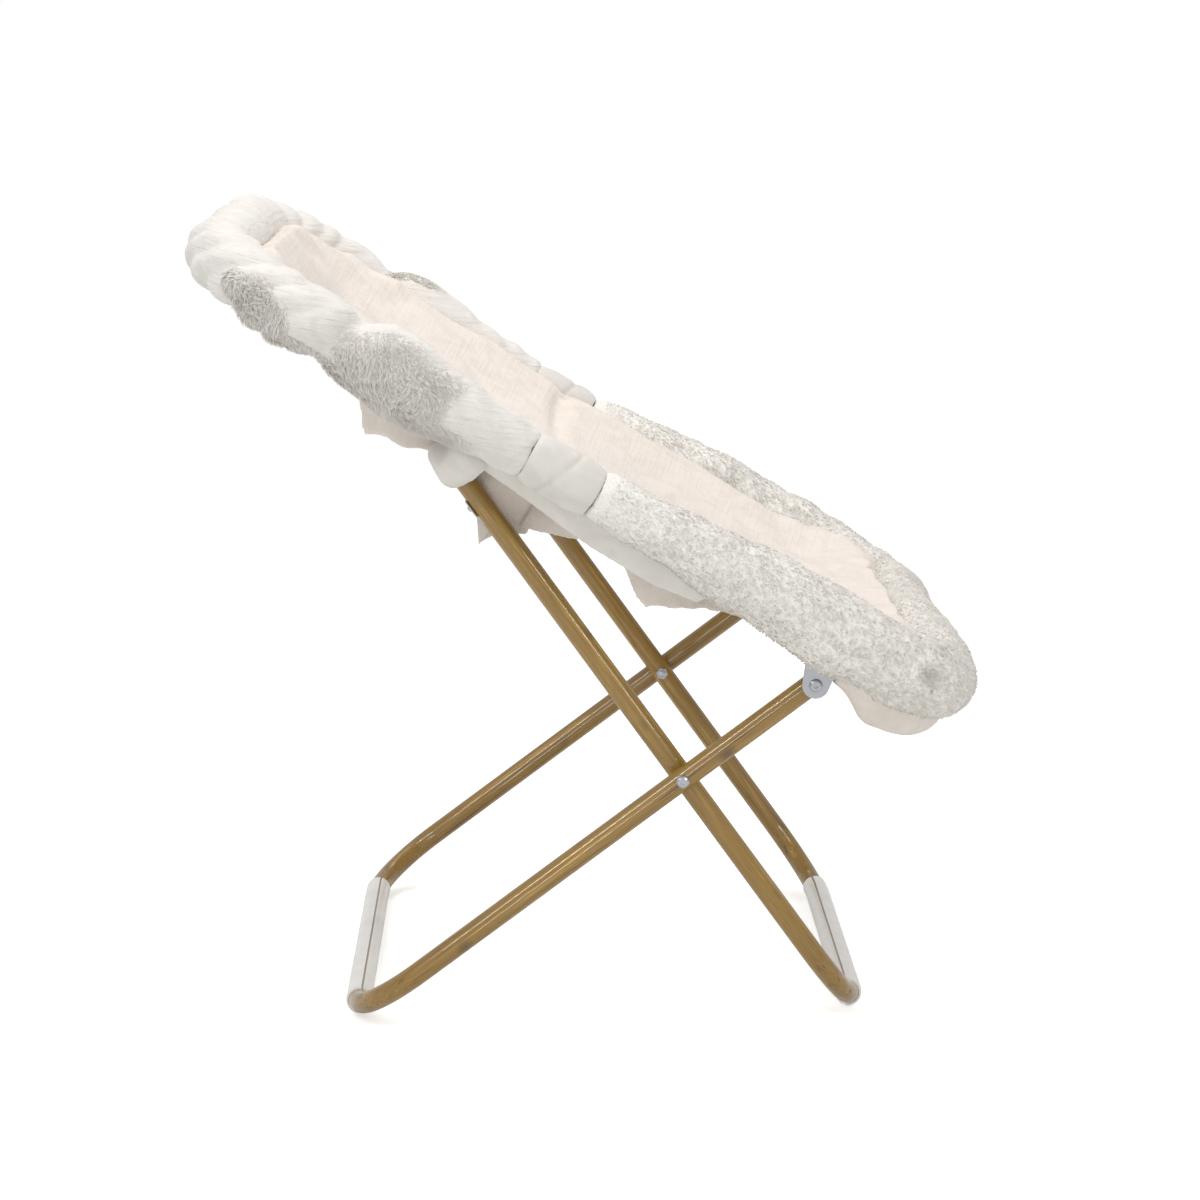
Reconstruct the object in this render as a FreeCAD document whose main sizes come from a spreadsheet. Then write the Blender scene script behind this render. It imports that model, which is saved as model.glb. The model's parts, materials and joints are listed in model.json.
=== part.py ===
# Folding lounge chair with a padded seat on two hinged rail frames and two crossed U-shaped leg frames.
# Millimetres, +Z up, -Y is the front of the chair, the origin is on the floor under its middle.
# Seat pieces are drawn in rail coordinates: X across, Z along the rails away from the side hinges, Y square to
# the seat plane. Leg pieces are drawn in leg coordinates: X across, Z from the crossing down to the floor bar.
import FreeCAD, Part
import math
import os
import Sketcher

Vector = FreeCAD.Vector
Rotation = FreeCAD.Rotation
Placement = FreeCAD.Placement
Constraint = Sketcher.Constraint
X_AXIS = Vector(1, 0, 0)
Y_AXIS = Vector(0, 1, 0)
Z_AXIS = Vector(0, 0, 1)

# Driving dimensions: millimetres and degrees.
DIMENSIONS = {
    # round tube of all four frames
    "tube_dia": 25.0,
    "tube_wall": 1.5,
    # leg frames: the outer one stands on the rear floor bar, the inner one on the front floor bar
    "rear_leg_half": 340.4,
    "leg_gap": 2.0,
    "leg_bend": 90.0,
    "cross_height": 289.0,
    "rear_leg_slope": 36.82,
    "front_leg_slope": 54.18,
    "tube_short": 4.6,
    # plastic fittings in the top ends of the legs
    "fitting_end": 13.0,
    "fitting_round": 6.0,
    "plug_length": 22.0,
    "plug_gap": 0.1,
    # clip-on floor sleeves
    "sleeve_wall": 2.2,
    "sleeve_gap": 0.15,
    "sole_flat": 0.5,
    "slit_width": 2.0,
    "slit_lean": 15.0,
    "rear_sleeve_wrap": 8.0,
    "front_sleeve_wrap": 18.0,
    # seat rails
    "seat_tilt": 31.0,
    "front_pivot_reach": 183.0,
    "front_rail_reach": 362.0,
    "pivot_drop": 59.0,
    "rail_gap": 6.6,
    "front_length": 490.0,
    "rear_length": 445.0,
    "front_bend": 120.0,
    "rear_bend": 160.0,
    "hinge_set_back": 38.0,
    # ear brackets under the rails
    "ear_radius": 15.0,
    "ear_thickness": 3.2,
    "bracket_fore": 7.0,
    "bracket_aft": 42.0,
    "plate_top": 2.0,
    "saddle_wrap": 135.0,
    "bracket_gap": 0.1,
    "saddle_wall": 2.5,
    # side hinges between the rails
    "leaf_thickness": 4.5,
    "leaf_half_height": 9.0,
    "leaf_gap": 0.15,
    "leaf_plug": 24.0,
    "leaf_collar": 2.0,
    "stop_reach": 14.0,
    "stop_height": 3.0,
    "stop_gap": 0.3,
    "rivet_dia": 8.0,
    "rivet_head_dia": 15.0,
    "rivet_head": 2.4,
    # bolts, cap nuts and washers
    "bolt_dia": 8.0,
    "bolt_clearance": 0.05,
    "head_dia": 14.7,
    "head_height": 4.4,
    "socket_flats": 5.0,
    "socket_depth": 2.6,
    "nut_flats": 13.0,
    "nut_height": 5.5,
    "dome_dia": 11.5,
    "dome_height": 4.0,
    "washer_dia": 20.0,
    "seat_gap": 0.1,
    "open_pivot_gap": 0.6,
    "bolt_end_gap": 1.0,
    "spacer_dia": 16.0,
    "strap_screw_reach": 382.0,
    "strap_screw_dia": 4.0,
    "strap_screw_head": 8.0,
    # padded rim over the rails
    "rim_bore_gap": 0.5,
    "rim_start": 36.0,
    "rim_radius_hinge": 29.0,
    "rim_radius_front": 45.0,
    "rim_radius_rear": 38.0,
    "rim_rise_front": 7.0,
    "rim_rise_rear": 4.0,
    "cover_bore": 33.0,
    "cover_dia": 58.0,
    "cloth_gap": 0.4,
    # seat cloth
    "seat_thickness": 14.0,
    "seat_sag": 62.0,
    "seat_edge_rise": 6.0,
    "seat_split": 0.5,
    # hanging hems
    "hem_thickness": 3.0,
    "hem_half": 292.0,
    "band_half": 349.0,
    "front_hem_half": 250.0,
    "front_hem_ahead": 15.0,
    "tab_thickness": 1.6,
    "tab_fore": 10.0,
    "tab_aft": 12.0,
    "tab_lap": 9.0,
    "sock_gap": 0.5,
    "sock_wall": 2.4,
    "sock_start": 11.0,
    "sock_length": 30.0,
}

# Where the ear's two tangent points start out on its round end, in degrees, before the sketch is solved.
EAR_GUESS = (82, -118)

# Sizes worked out from the driving ones, as formulas that sketches and solids are bound to.
TUBE_R = "(Dims.tube_dia / 2)"
BORE_R = "(Dims.tube_dia / 2 - Dims.tube_wall)"
PLUG_R = f"({BORE_R} - Dims.plug_gap)"
HOLE_R = "(Dims.bolt_dia / 2 + Dims.bolt_clearance)"
REAR_LEG_HALF = "(Dims.rear_leg_half)"
FRONT_LEG_HALF = "(Dims.rear_leg_half - Dims.tube_dia - Dims.leg_gap)"
RAIL_HALF = "(Dims.rear_leg_half + Dims.tube_dia + Dims.rail_gap)"
FOOT_HEIGHT = f"({TUBE_R} + Dims.sleeve_gap + Dims.sleeve_wall - Dims.sole_flat)"
REAR_LEG_LOWER = f"((Dims.cross_height - {FOOT_HEIGHT}) / sin(Dims.rear_leg_slope * 1deg))"
FRONT_LEG_LOWER = f"((Dims.cross_height - {FOOT_HEIGHT}) / sin(Dims.front_leg_slope * 1deg))"
REAR_PIVOT_REACH = (
    "(Dims.front_pivot_reach * sin((Dims.rear_leg_slope + Dims.seat_tilt) * 1deg)"
    " / sin((Dims.front_leg_slope - Dims.seat_tilt) * 1deg))"
)
REAR_RAIL_REACH = (
    f"({REAR_PIVOT_REACH} * cos((Dims.front_leg_slope - Dims.seat_tilt) * 1deg)"
    " + Dims.front_pivot_reach * cos((Dims.rear_leg_slope + Dims.seat_tilt) * 1deg)"
    " - Dims.front_rail_reach)"
)
EAR_OUTER = f"({RAIL_HALF} - {TUBE_R} - Dims.bracket_gap)"
EAR_INNER = f"({EAR_OUTER} - Dims.ear_thickness)"
SLEEVE_INNER_R = f"({TUBE_R} + Dims.sleeve_gap)"
SLEEVE_OUTER_R = f"({SLEEVE_INNER_R} + Dims.sleeve_wall)"
RIM_BORE_R = f"({TUBE_R} + Dims.rim_bore_gap)"

# Side of the block that trims the floor sleeves flat.
FLOOR_BLOCK = 80

# Seat sections: how far along from the hinge to the cross bar, and the share of the full sag there.
FRONT_SAGS = [(0, 1.0), (0.35, 0.97), (0.65, 0.68), (0.9, 0.2), (1, 0.04)]
REAR_SAGS = [(0, 1.0), (0.35, 0.94), (0.65, 0.6), (0.9, 0.16), (1, 0.04)]

# Corners of the hanging hems as (normal, along) pairs in rail coordinates.
FRONT_SKIRT = [
    ("-20", "1"), ("-118", "1"), ("-87", "177"), ("-60", "300"),
    ("-30", "340"), ("-15", "318"), ("-20", "171"),
]
REAR_SKIRT = [
    ("-20", "1"), ("-118", "1"), ("-123", "34"), ("-85", "206"),
    ("-30", "250"), ("-16", "240"), ("-20", "156"),
]
FRONT_BAND = [("-21.4", "1"), ("-61", "1"), ("-55", "86"), ("-25", "92"), ("-21.4", "35.6")]
REAR_BAND = [("-21.4", "1"), ("-61", "1"), ("-58", "80"), ("-23.7", "88"), ("-21.4", "35.6")]

# Lower corners of the front hem as (across, drop below the rim) pairs.
FRONT_HEM = [("-190", "13"), ("-40", "18"), ("120", "15"), ("215", "11")]

doc = FreeCAD.newDocument("folding_lounge_chair")


def make_sheet():
    """Write the driving dimensions into the document's spreadsheet."""
    sheet = doc.addObject("Spreadsheet::Sheet", "Dims")
    for row, (alias, number) in enumerate(DIMENSIONS.items(), start=1):
        sheet.set(f"A{row}", alias)
        sheet.set(f"B{row}", str(number))
        sheet.setAlias(f"B{row}", alias)
    doc.recompute()
    return sheet


dims = make_sheet()


def size(formula):
    """The present value of a formula over the spreadsheet's names."""
    result = dims.evalExpression(formula)
    return float(getattr(result, "Value", result))


def dim(alias):
    """The present value of one driving dimension."""
    return float(dims.get(alias))


# Places of the frames in the chair


def rail_point(along, normal):
    """World (y, z) of a point given by its distance behind the side hinge and above the rail plane."""
    tilt = math.radians(dim("seat_tilt"))
    slope = math.radians(dim("rear_leg_slope"))
    reach = dim("front_pivot_reach")
    pivot_y = -reach * math.cos(slope)
    pivot_z = dim("cross_height") + reach * math.sin(slope)
    back = along + dim("front_rail_reach")
    rise = normal + dim("pivot_drop")
    y = pivot_y + back * math.cos(tilt) - rise * math.sin(tilt)
    z = pivot_z + back * math.sin(tilt) + rise * math.cos(tilt)
    return y, z


def rear_leg_place():
    """Leg coordinates of the outer frame, whose floor bar is at the rear."""
    return Placement(Vector(0, 0, dim("cross_height")), Rotation(X_AXIS, -90 - dim("rear_leg_slope")))


def front_leg_place():
    """Leg coordinates of the inner frame, whose floor bar is at the front."""
    return Placement(Vector(0, 0, dim("cross_height")), Rotation(X_AXIS, 90 + dim("front_leg_slope")))


def front_rail_place():
    """Rail coordinates of the front half of the seat frame."""
    y, z = rail_point(0, 0)
    return Placement(Vector(0, y, z), Rotation(X_AXIS, 90 + dim("seat_tilt")))


def rear_rail_place():
    """Rail coordinates of the rear half, turned so that Y still points up out of the seat."""
    y, z = rail_point(0, 0)
    turn = Rotation(X_AXIS, dim("seat_tilt") - 90).multiply(Rotation(Z_AXIS, 180))
    return Placement(Vector(0, y, z), turn)


# Sketch and body helpers


def new_body(label):
    """A PartDesign body with its own label."""
    body = doc.addObject("PartDesign::Body", label)
    body.Label = label
    return body


def origin_plane(body, role):
    """One of a body's origin planes."""
    return next(item for item in body.Origin.OriginFeatures if item.Role == role)


def add_sketch(body, name, role, shift=None):
    """A sketch on one of the body's origin planes; shift binds its offset to formulas."""
    sketch = body.newObject("Sketcher::SketchObject", name)
    sketch.AttachmentSupport = [(origin_plane(body, role), "")]
    sketch.MapMode = "FlatFace"
    for axis, formula in (shift or {}).items():
        sketch.setExpression(f"AttachmentOffset.Base.{axis}", formula)
    return sketch


def bind(sketch, name, constraint, formula):
    """Add a dimension to a sketch and bind it to a formula."""
    index = sketch.addConstraint(constraint)
    sketch.renameConstraint(index, name)
    sketch.setExpression(f"Constraints.{name}", formula)


def add_circle(sketch, name, radius, across=None, along=None):
    """A circle whose radius and centre follow formulas; no formula keeps the centre on that axis."""
    x = size(across) if across else 0.0
    y = size(along) if along else 0.0
    circle = sketch.addGeometry(Part.Circle(Vector(x, y, 0), Z_AXIS, size(radius)), False)
    bind(sketch, f"{name}_radius", Constraint("Radius", circle, size(radius)), radius)
    if across:
        bind(sketch, f"{name}_across", Constraint("DistanceX", -1, 1, circle, 3, x), across)
    else:
        sketch.addConstraint(Constraint("PointOnObject", circle, 3, -2))
    if along:
        bind(sketch, f"{name}_along", Constraint("DistanceY", -1, 1, circle, 3, y), along)
    else:
        sketch.addConstraint(Constraint("PointOnObject", circle, 3, -1))
    return circle


def add_polygon(sketch, name, corners):
    """A closed outline whose corners follow pairs of formulas; None keeps a corner on that axis."""
    points = [Vector(size(a) if a else 0.0, size(b) if b else 0.0, 0) for a, b in corners]
    lines = []
    for start, end in zip(points, points[1:] + points[:1]):
        lines.append(sketch.addGeometry(Part.LineSegment(start, end), False))
    for number, line in enumerate(lines):
        following = lines[(number + 1) % len(lines)]
        sketch.addConstraint(Constraint("Coincident", line, 2, following, 1))
        across, along = corners[number]
        if across:
            place = Constraint("DistanceX", -1, 1, line, 1, points[number].x)
            bind(sketch, f"{name}_a{number}_across", place, across)
        else:
            sketch.addConstraint(Constraint("PointOnObject", line, 1, -2))
        if along:
            place = Constraint("DistanceY", -1, 1, line, 1, points[number].y)
            bind(sketch, f"{name}_a{number}_along", place, along)
        else:
            sketch.addConstraint(Constraint("PointOnObject", line, 1, -1))
    return lines


def pad_both_ways(body, sketch, name, length):
    """Pad a sketch by a length shared between its two sides."""
    pad = body.newObject("PartDesign::Pad", name)
    pad.Profile = sketch
    pad.Midplane = True
    pad.setExpression("Length", length)
    return pad


def drill_across(body, name, holes):
    """Drill round holes right through along X; each hole is a name, a radius and its two places."""
    sketch = add_sketch(body, f"{name}_sketch", "YZ_Plane")
    for hole, radius, across, along in holes:
        add_circle(sketch, hole, radius, across, along)
    doc.recompute()
    before = body.Shape.Volume
    pocket = body.newObject("PartDesign::Pocket", name)
    pocket.Profile = sketch
    pocket.Type = "ThroughAll"
    pocket.Midplane = True
    doc.recompute()
    if body.Shape.Volume >= before:
        raise RuntimeError(f"{name} cut nothing from {body.Label}")


def revolve(body, name, corners):
    """Turn a closed outline of radius and height formulas about Z."""
    sketch = add_sketch(body, f"{name}_sketch", "XZ_Plane")
    add_polygon(sketch, name, corners)
    turned = body.newObject("PartDesign::Revolution", name)
    turned.Profile = sketch
    turned.ReferenceAxis = (sketch, ["V_Axis"])
    turned.Angle = 360
    doc.recompute()
    return turned


def fillet_circle(body, name, radius, height):
    """Round the circular edge of a turned body that lies at a given height."""
    target = size(height)
    base = body.Tip
    edges = []
    for number, edge in enumerate(base.Shape.Edges, start=1):
        box = edge.BoundBox
        level = abs(box.ZMin - target) < 0.01 and abs(box.ZMax - target) < 0.01
        if level and isinstance(edge.Curve, Part.Circle):
            edges.append(f"Edge{number}")
    fillet = body.newObject("PartDesign::Fillet", name)
    fillet.Base = (base, edges)
    fillet.setExpression("Radius", radius)
    doc.recompute()
    return fillet


# Tubes


def u_tube(label, half, start, length, bend, place, holes=()):
    """A bent tube: up one side from start to the cross bar at length, across, and back to start."""
    body = new_body(label)
    w, s, e, r = (size(formula) for formula in (half, start, length, bend))
    path = add_sketch(body, f"{label}_path", "XZ_Plane")
    left = path.addGeometry(Part.LineSegment(Vector(-w, s, 0), Vector(-w, e - r, 0)), False)
    corner = Part.Circle(Vector(-w + r, e - r, 0), Z_AXIS, r)
    first = path.addGeometry(Part.ArcOfCircle(corner, math.pi / 2, math.pi), False)
    bar = path.addGeometry(Part.LineSegment(Vector(-w + r, e, 0), Vector(w - r, e, 0)), False)
    corner = Part.Circle(Vector(w - r, e - r, 0), Z_AXIS, r)
    second = path.addGeometry(Part.ArcOfCircle(corner, 0, math.pi / 2), False)
    right = path.addGeometry(Part.LineSegment(Vector(w, e - r, 0), Vector(w, s, 0)), False)
    path.addConstraint(
        [
            Constraint("Tangent", left, 2, first, 2),
            Constraint("Tangent", first, 1, bar, 1),
            Constraint("Tangent", bar, 2, second, 2),
            Constraint("Tangent", second, 1, right, 1),
            Constraint("Vertical", left),
            Constraint("Vertical", right),
            Constraint("Horizontal", bar),
            Constraint("Equal", first, second),
            Constraint("Symmetric", left, 1, right, 2, -2),
        ]
    )
    bind(path, "half_width", Constraint("DistanceX", left, 1, -1, 1, w), half)
    bind(path, "start_at", Constraint("DistanceY", -1, 1, left, 1, s), start)
    bind(path, "cross_at", Constraint("DistanceY", -1, 1, bar, 1, e), length)
    bind(path, "bend_radius", Constraint("Radius", first, r), bend)
    ring = add_sketch(body, f"{label}_ring", "XY_Plane", {"x": f"-{half}", "z": start})
    add_circle(ring, "outer", TUBE_R)
    add_circle(ring, "bore", BORE_R)
    doc.recompute()
    pipe = body.newObject("PartDesign::AdditivePipe", f"{label}_pipe")
    pipe.Profile = ring
    pipe.Spine = (path, [])
    doc.recompute()
    if holes:
        drill_across(body, f"{label}_holes", holes)
    body.Placement = place
    return body


def leg_tube(label, half, reach, lower, place):
    """One leg frame, drilled at the crossing and ending just short of its top pivot."""
    start = f"(Dims.tube_short - {reach})"
    crossing = ("crossing", HOLE_R, None, None)
    return u_tube(label, half, start, lower, "Dims.leg_bend", place, [crossing])


def leg_fitting(label, half, reach, place):
    """The pair of plastic fittings that close a leg frame's top ends and carry its pivot bolts."""
    body = new_body(f"{label}_right")
    end = "(-Dims.fitting_end)"
    shoulder = "Dims.tube_short"
    tip = "(Dims.tube_short + Dims.plug_length)"
    corners = [(None, end), (TUBE_R, end), (TUBE_R, shoulder), (PLUG_R, shoulder), (PLUG_R, tip), (None, tip)]
    revolve(body, "turned", corners)
    fillet_circle(body, "rounded", "Dims.fitting_round", end)
    drill_across(body, "pivot_hole", [("pivot", HOLE_R, None, None)])
    body.setExpression("Placement.Base.x", half)
    body.setExpression("Placement.Base.z", f"-{reach}")
    return mirrored_pair(label, body, place)


def floor_sleeve(label, half, lower, wrap, slit_angle, place):
    """A split plastic sleeve on a floor bar and the start of its bends, with a flat sole."""
    body = new_body(f"{label}_split_tube")
    w, e, r = size(half), size(lower), dim("leg_bend")
    turn = math.radians(size(wrap))
    path = add_sketch(body, f"{label}_path", "XZ_Plane")
    bar = path.addGeometry(Part.LineSegment(Vector(0, e, 0), Vector(w - r, e, 0)), False)
    corner = Part.Circle(Vector(w - r, e - r, 0), Z_AXIS, r)
    arc = path.addGeometry(Part.ArcOfCircle(corner, math.pi / 2 - turn, math.pi / 2), False)
    path.addConstraint(Constraint("Horizontal", bar))
    path.addConstraint(Constraint("PointOnObject", bar, 1, -2))
    path.addConstraint(Constraint("Tangent", bar, 2, arc, 2))
    bind(path, "bar_at", Constraint("DistanceY", -1, 1, bar, 1, e), lower)
    bind(path, "bar_half", Constraint("DistanceX", bar, 1, bar, 2, w - r), f"{half} - Dims.leg_bend")
    bind(path, "bend_radius", Constraint("Radius", arc, r), "Dims.leg_bend")
    bind(path, "wrap", Constraint("Angle", arc, turn), f"{wrap} * 1deg")
    ring = split_ring(body, label, lower, slit_angle)
    doc.recompute()
    pipe = body.newObject("PartDesign::AdditivePipe", f"{label}_half")
    pipe.Profile = ring
    pipe.Spine = (path, [])
    doc.recompute()
    both = body.newObject("PartDesign::Mirrored", f"{label}_both")
    both.Originals = [pipe]
    both.MirrorPlane = (origin_plane(body, "YZ_Plane"), [""])
    doc.recompute()
    body.Tip = both
    floor = doc.addObject("Part::Box", f"{label}_floor")
    floor.setExpression("Length", f"2 * {RAIL_HALF}")
    floor.Width = FLOOR_BLOCK
    floor.Height = FLOOR_BLOCK
    bar_y = place.multVec(Vector(0, 0, e)).y
    corner = Placement(Vector(-size(RAIL_HALF), bar_y - FLOOR_BLOCK / 2, -FLOOR_BLOCK), Rotation())
    floor.Placement = place.inverse().multiply(corner)
    return cut_away(label, body, [floor], place)


def split_ring(body, label, lower, slit_angle):
    """The sleeve's cross-section: a ring with a narrow slit at an angle from local +Y."""
    ring = add_sketch(body, f"{label}_ring", "YZ_Plane", {"y": lower})
    half_slit = f"(Dims.slit_width / (2 * {SLEEVE_INNER_R}) * 180 / pi)"
    ends = [f"({slit_angle} + {half_slit})", f"({slit_angle} - {half_slit})"]
    first, last = (math.radians(size(formula)) for formula in ends)
    arcs = []
    for formula in (SLEEVE_OUTER_R, SLEEVE_INNER_R):
        curve = Part.Circle(Vector(0, 0, 0), Z_AXIS, size(formula))
        arc = ring.addGeometry(Part.ArcOfCircle(curve, first, last + 2 * math.pi), False)
        ring.addConstraint(Constraint("Coincident", arc, 3, -1, 1))
        bind(ring, f"radius_{len(arcs)}", Constraint("Radius", arc, size(formula)), formula)
        arcs.append(arc)
    for end, angle, formula in ((1, first, ends[0]), (2, last, ends[1])):
        outward = Vector(math.cos(angle), math.sin(angle), 0)
        edge = Part.LineSegment(outward * size(SLEEVE_INNER_R), outward * size(SLEEVE_OUTER_R))
        lip = ring.addGeometry(edge, False)
        ring.addConstraint(Constraint("Coincident", lip, 1, arcs[1], end))
        ring.addConstraint(Constraint("Coincident", lip, 2, arcs[0], end))
        ring.addConstraint(Constraint("PointOnObject", -1, 1, lip))
        across = f"{SLEEVE_INNER_R} * cos({formula} * 1deg)"
        bind(ring, f"lip_{end}", Constraint("DistanceX", -1, 1, lip, 1, size(across)), across)
    return ring


# Bolts, nuts and washers, drawn along Z with the seating face at height 0


def button_bolt(label, length):
    """A button-head bolt with a hexagon socket; its shank runs down from height 0."""
    body = new_body(label)
    shank = "(Dims.bolt_dia / 2)"
    head = "(Dims.head_dia / 2)"
    corners = [
        (None, f"-{length}"),
        (shank, f"-{length}"),
        (shank, None),
        (head, None),
        (head, "(Dims.head_height * 0.3)"),
        (f"({head} * 0.85)", "(Dims.head_height * 0.75)"),
        (f"({head} * 0.6)", "Dims.head_height"),
        (None, "Dims.head_height"),
    ]
    revolve(body, f"{label}_turned", corners)
    socket = add_sketch(body, f"{label}_hexagon", "XY_Plane", {"z": "Dims.head_height"})
    add_polygon(socket, "hexagon", hexagon("Dims.socket_flats"))
    doc.recompute()
    pocket = body.newObject("PartDesign::Pocket", f"{label}_socket")
    pocket.Profile = socket
    pocket.setExpression("Length", "Dims.socket_depth")
    doc.recompute()
    return body


def hexagon(flats):
    """Corner formulas of a hexagon given its size across the flats, turned so none lies on an axis."""
    radius = f"({flats} / sqrt(3))"
    angles = [15 + 60 * number for number in range(6)]
    return [(f"({radius} * cos({angle}deg))", f"({radius} * sin({angle}deg))") for angle in angles]


def cap_nut(label):
    """A domed nut with a blind hole that takes the end of a bolt."""
    body = new_body(label)
    outline = add_sketch(body, f"{label}_hexagon", "XY_Plane")
    add_polygon(outline, "hexagon", hexagon("Dims.nut_flats"))
    doc.recompute()
    pad = body.newObject("PartDesign::Pad", f"{label}_flats")
    pad.Profile = outline
    pad.setExpression("Length", "Dims.nut_height")
    doc.recompute()
    dome = "(Dims.dome_dia / 2)"
    base = "(Dims.nut_height / 2)"
    corners = [
        (None, base),
        (dome, base),
        (dome, "Dims.nut_height"),
        (f"({dome} * 0.87)", "(Dims.nut_height + Dims.dome_height * 0.5)"),
        (f"({dome} * 0.5)", "(Dims.nut_height + Dims.dome_height * 0.87)"),
        (None, "(Dims.nut_height + Dims.dome_height)"),
    ]
    revolve(body, f"{label}_dome", corners)
    hole = add_sketch(body, f"{label}_hole_sketch", "XY_Plane")
    add_circle(hole, "hole", HOLE_R)
    doc.recompute()
    bore = body.newObject("PartDesign::Pocket", f"{label}_hole")
    bore.Profile = hole
    bore.Reversed = True
    bore.setExpression("Length", "Dims.nut_height + Dims.bolt_end_gap")
    doc.recompute()
    return body


def ring_washer(label, outer, thickness):
    """A flat ring or spacer tube that turns on a bolt."""
    body = new_body(label)
    corners = [(HOLE_R, None), (outer, None), (outer, thickness), (HOLE_R, thickness)]
    revolve(body, f"{label}_turned", corners)
    return body


def lay_across(body, across, outward=True, normal="0", along="0"):
    """Turn a piece drawn along Z so that it points across the chair, seated at a given distance."""
    body.Placement = Placement(Vector(0, 0, 0), Rotation(Y_AXIS, 90 if outward else -90))
    body.setExpression("Placement.Base.x", across)
    body.setExpression("Placement.Base.y", normal)
    body.setExpression("Placement.Base.z", along)
    return body


# Groups, twins and cuts


def mirrored_pair(label, body, place):
    """A piece at +X and its mirror image at -X, as two solids under one name."""
    other = doc.addObject("Part::Mirroring", f"{label}_mirror")
    other.Source = body
    other.Base = Vector(0, 0, 0)
    other.Normal = X_AXIS
    pair = doc.addObject("Part::Compound", label)
    pair.Label = label
    pair.Links = [body, other]
    pair.Placement = place
    return pair


def with_twin(body, twin_label, place):
    """Place a piece and add its mirror image as a piece of its own."""
    body.Placement = place
    twin = doc.addObject("Part::Mirroring", twin_label)
    twin.Label = twin_label
    twin.Source = body
    twin.Base = Vector(0, 0, 0)
    twin.Normal = X_AXIS
    return [body, twin]


def cut_away(label, body, tools, place):
    """A body less some tool solids, all drawn in the same coordinates."""
    tool = tools[0]
    if len(tools) > 1:
        tool = doc.addObject("Part::MultiFuse", f"{label}_tools")
        tool.Shapes = tools
    result = doc.addObject("Part::Cut", label)
    result.Label = label
    result.Base = body
    result.Tool = tool
    result.Placement = place
    return result


# Brackets and side hinges of the seat frame


def ear_bracket(label, reach):
    """A plate that hangs under a rail, round at its pivot, with a saddle that cups the rail."""
    body = new_body(label)
    drop = "(-Dims.pivot_drop)"
    plate = add_sketch(body, f"{label}_plate", "YZ_Plane", {"z": EAR_INNER})
    centre = Vector(size(drop), size(reach), 0)
    radius = dim("ear_radius")
    top = size("(Dims.plate_top)")
    fore = size(f"({reach} + Dims.bracket_fore)")
    aft = size(f"({reach} - Dims.bracket_aft)")
    fore_angle, aft_angle = math.radians(EAR_GUESS[0]), math.radians(EAR_GUESS[1])
    circle = Part.Circle(centre, Z_AXIS, radius)
    ear = plate.addGeometry(Part.ArcOfCircle(circle, fore_angle, aft_angle + 2 * math.pi), False)
    fore_foot = centre + Vector(math.cos(fore_angle), math.sin(fore_angle), 0) * radius
    aft_foot = centre + Vector(math.cos(aft_angle), math.sin(aft_angle), 0) * radius
    side_aft = plate.addGeometry(Part.LineSegment(aft_foot, Vector(top, aft, 0)), False)
    edge = plate.addGeometry(Part.LineSegment(Vector(top, aft, 0), Vector(top, fore, 0)), False)
    side_fore = plate.addGeometry(Part.LineSegment(Vector(top, fore, 0), fore_foot), False)
    plate.addConstraint(
        [
            Constraint("Tangent", ear, 2, side_aft, 1),
            Constraint("Coincident", side_aft, 2, edge, 1),
            Constraint("Coincident", edge, 2, side_fore, 1),
            Constraint("Tangent", side_fore, 2, ear, 1),
            Constraint("Vertical", edge),
        ]
    )
    bind(plate, "ear_r", Constraint("Radius", ear, radius), "Dims.ear_radius")
    bind(plate, "ear_drop", Constraint("DistanceX", ear, 3, -1, 1, dim("pivot_drop")), "Dims.pivot_drop")
    bind(plate, "ear_reach", Constraint("DistanceY", -1, 1, ear, 3, size(reach)), reach)
    bind(plate, "top_at", Constraint("DistanceX", -1, 1, edge, 1, top), "Dims.plate_top")
    bind(plate, "aft_at", Constraint("DistanceY", -1, 1, edge, 1, aft), f"{reach} - Dims.bracket_aft")
    bind(plate, "fore_at", Constraint("DistanceY", -1, 1, edge, 2, fore), f"{reach} + Dims.bracket_fore")
    doc.recompute()
    pad = body.newObject("PartDesign::Pad", f"{label}_ear")
    pad.Profile = plate
    pad.setExpression("Length", "Dims.ear_thickness")
    doc.recompute()
    saddle = saddle_sketch(body, label, reach)
    trough = body.newObject("PartDesign::Pad", f"{label}_saddle")
    trough.Profile = saddle
    trough.setExpression("Length", "Dims.bracket_aft + Dims.bracket_fore")
    doc.recompute()
    drill_across(body, f"{label}_hole", [("pivot", HOLE_R, drop, reach)])
    return body


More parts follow.
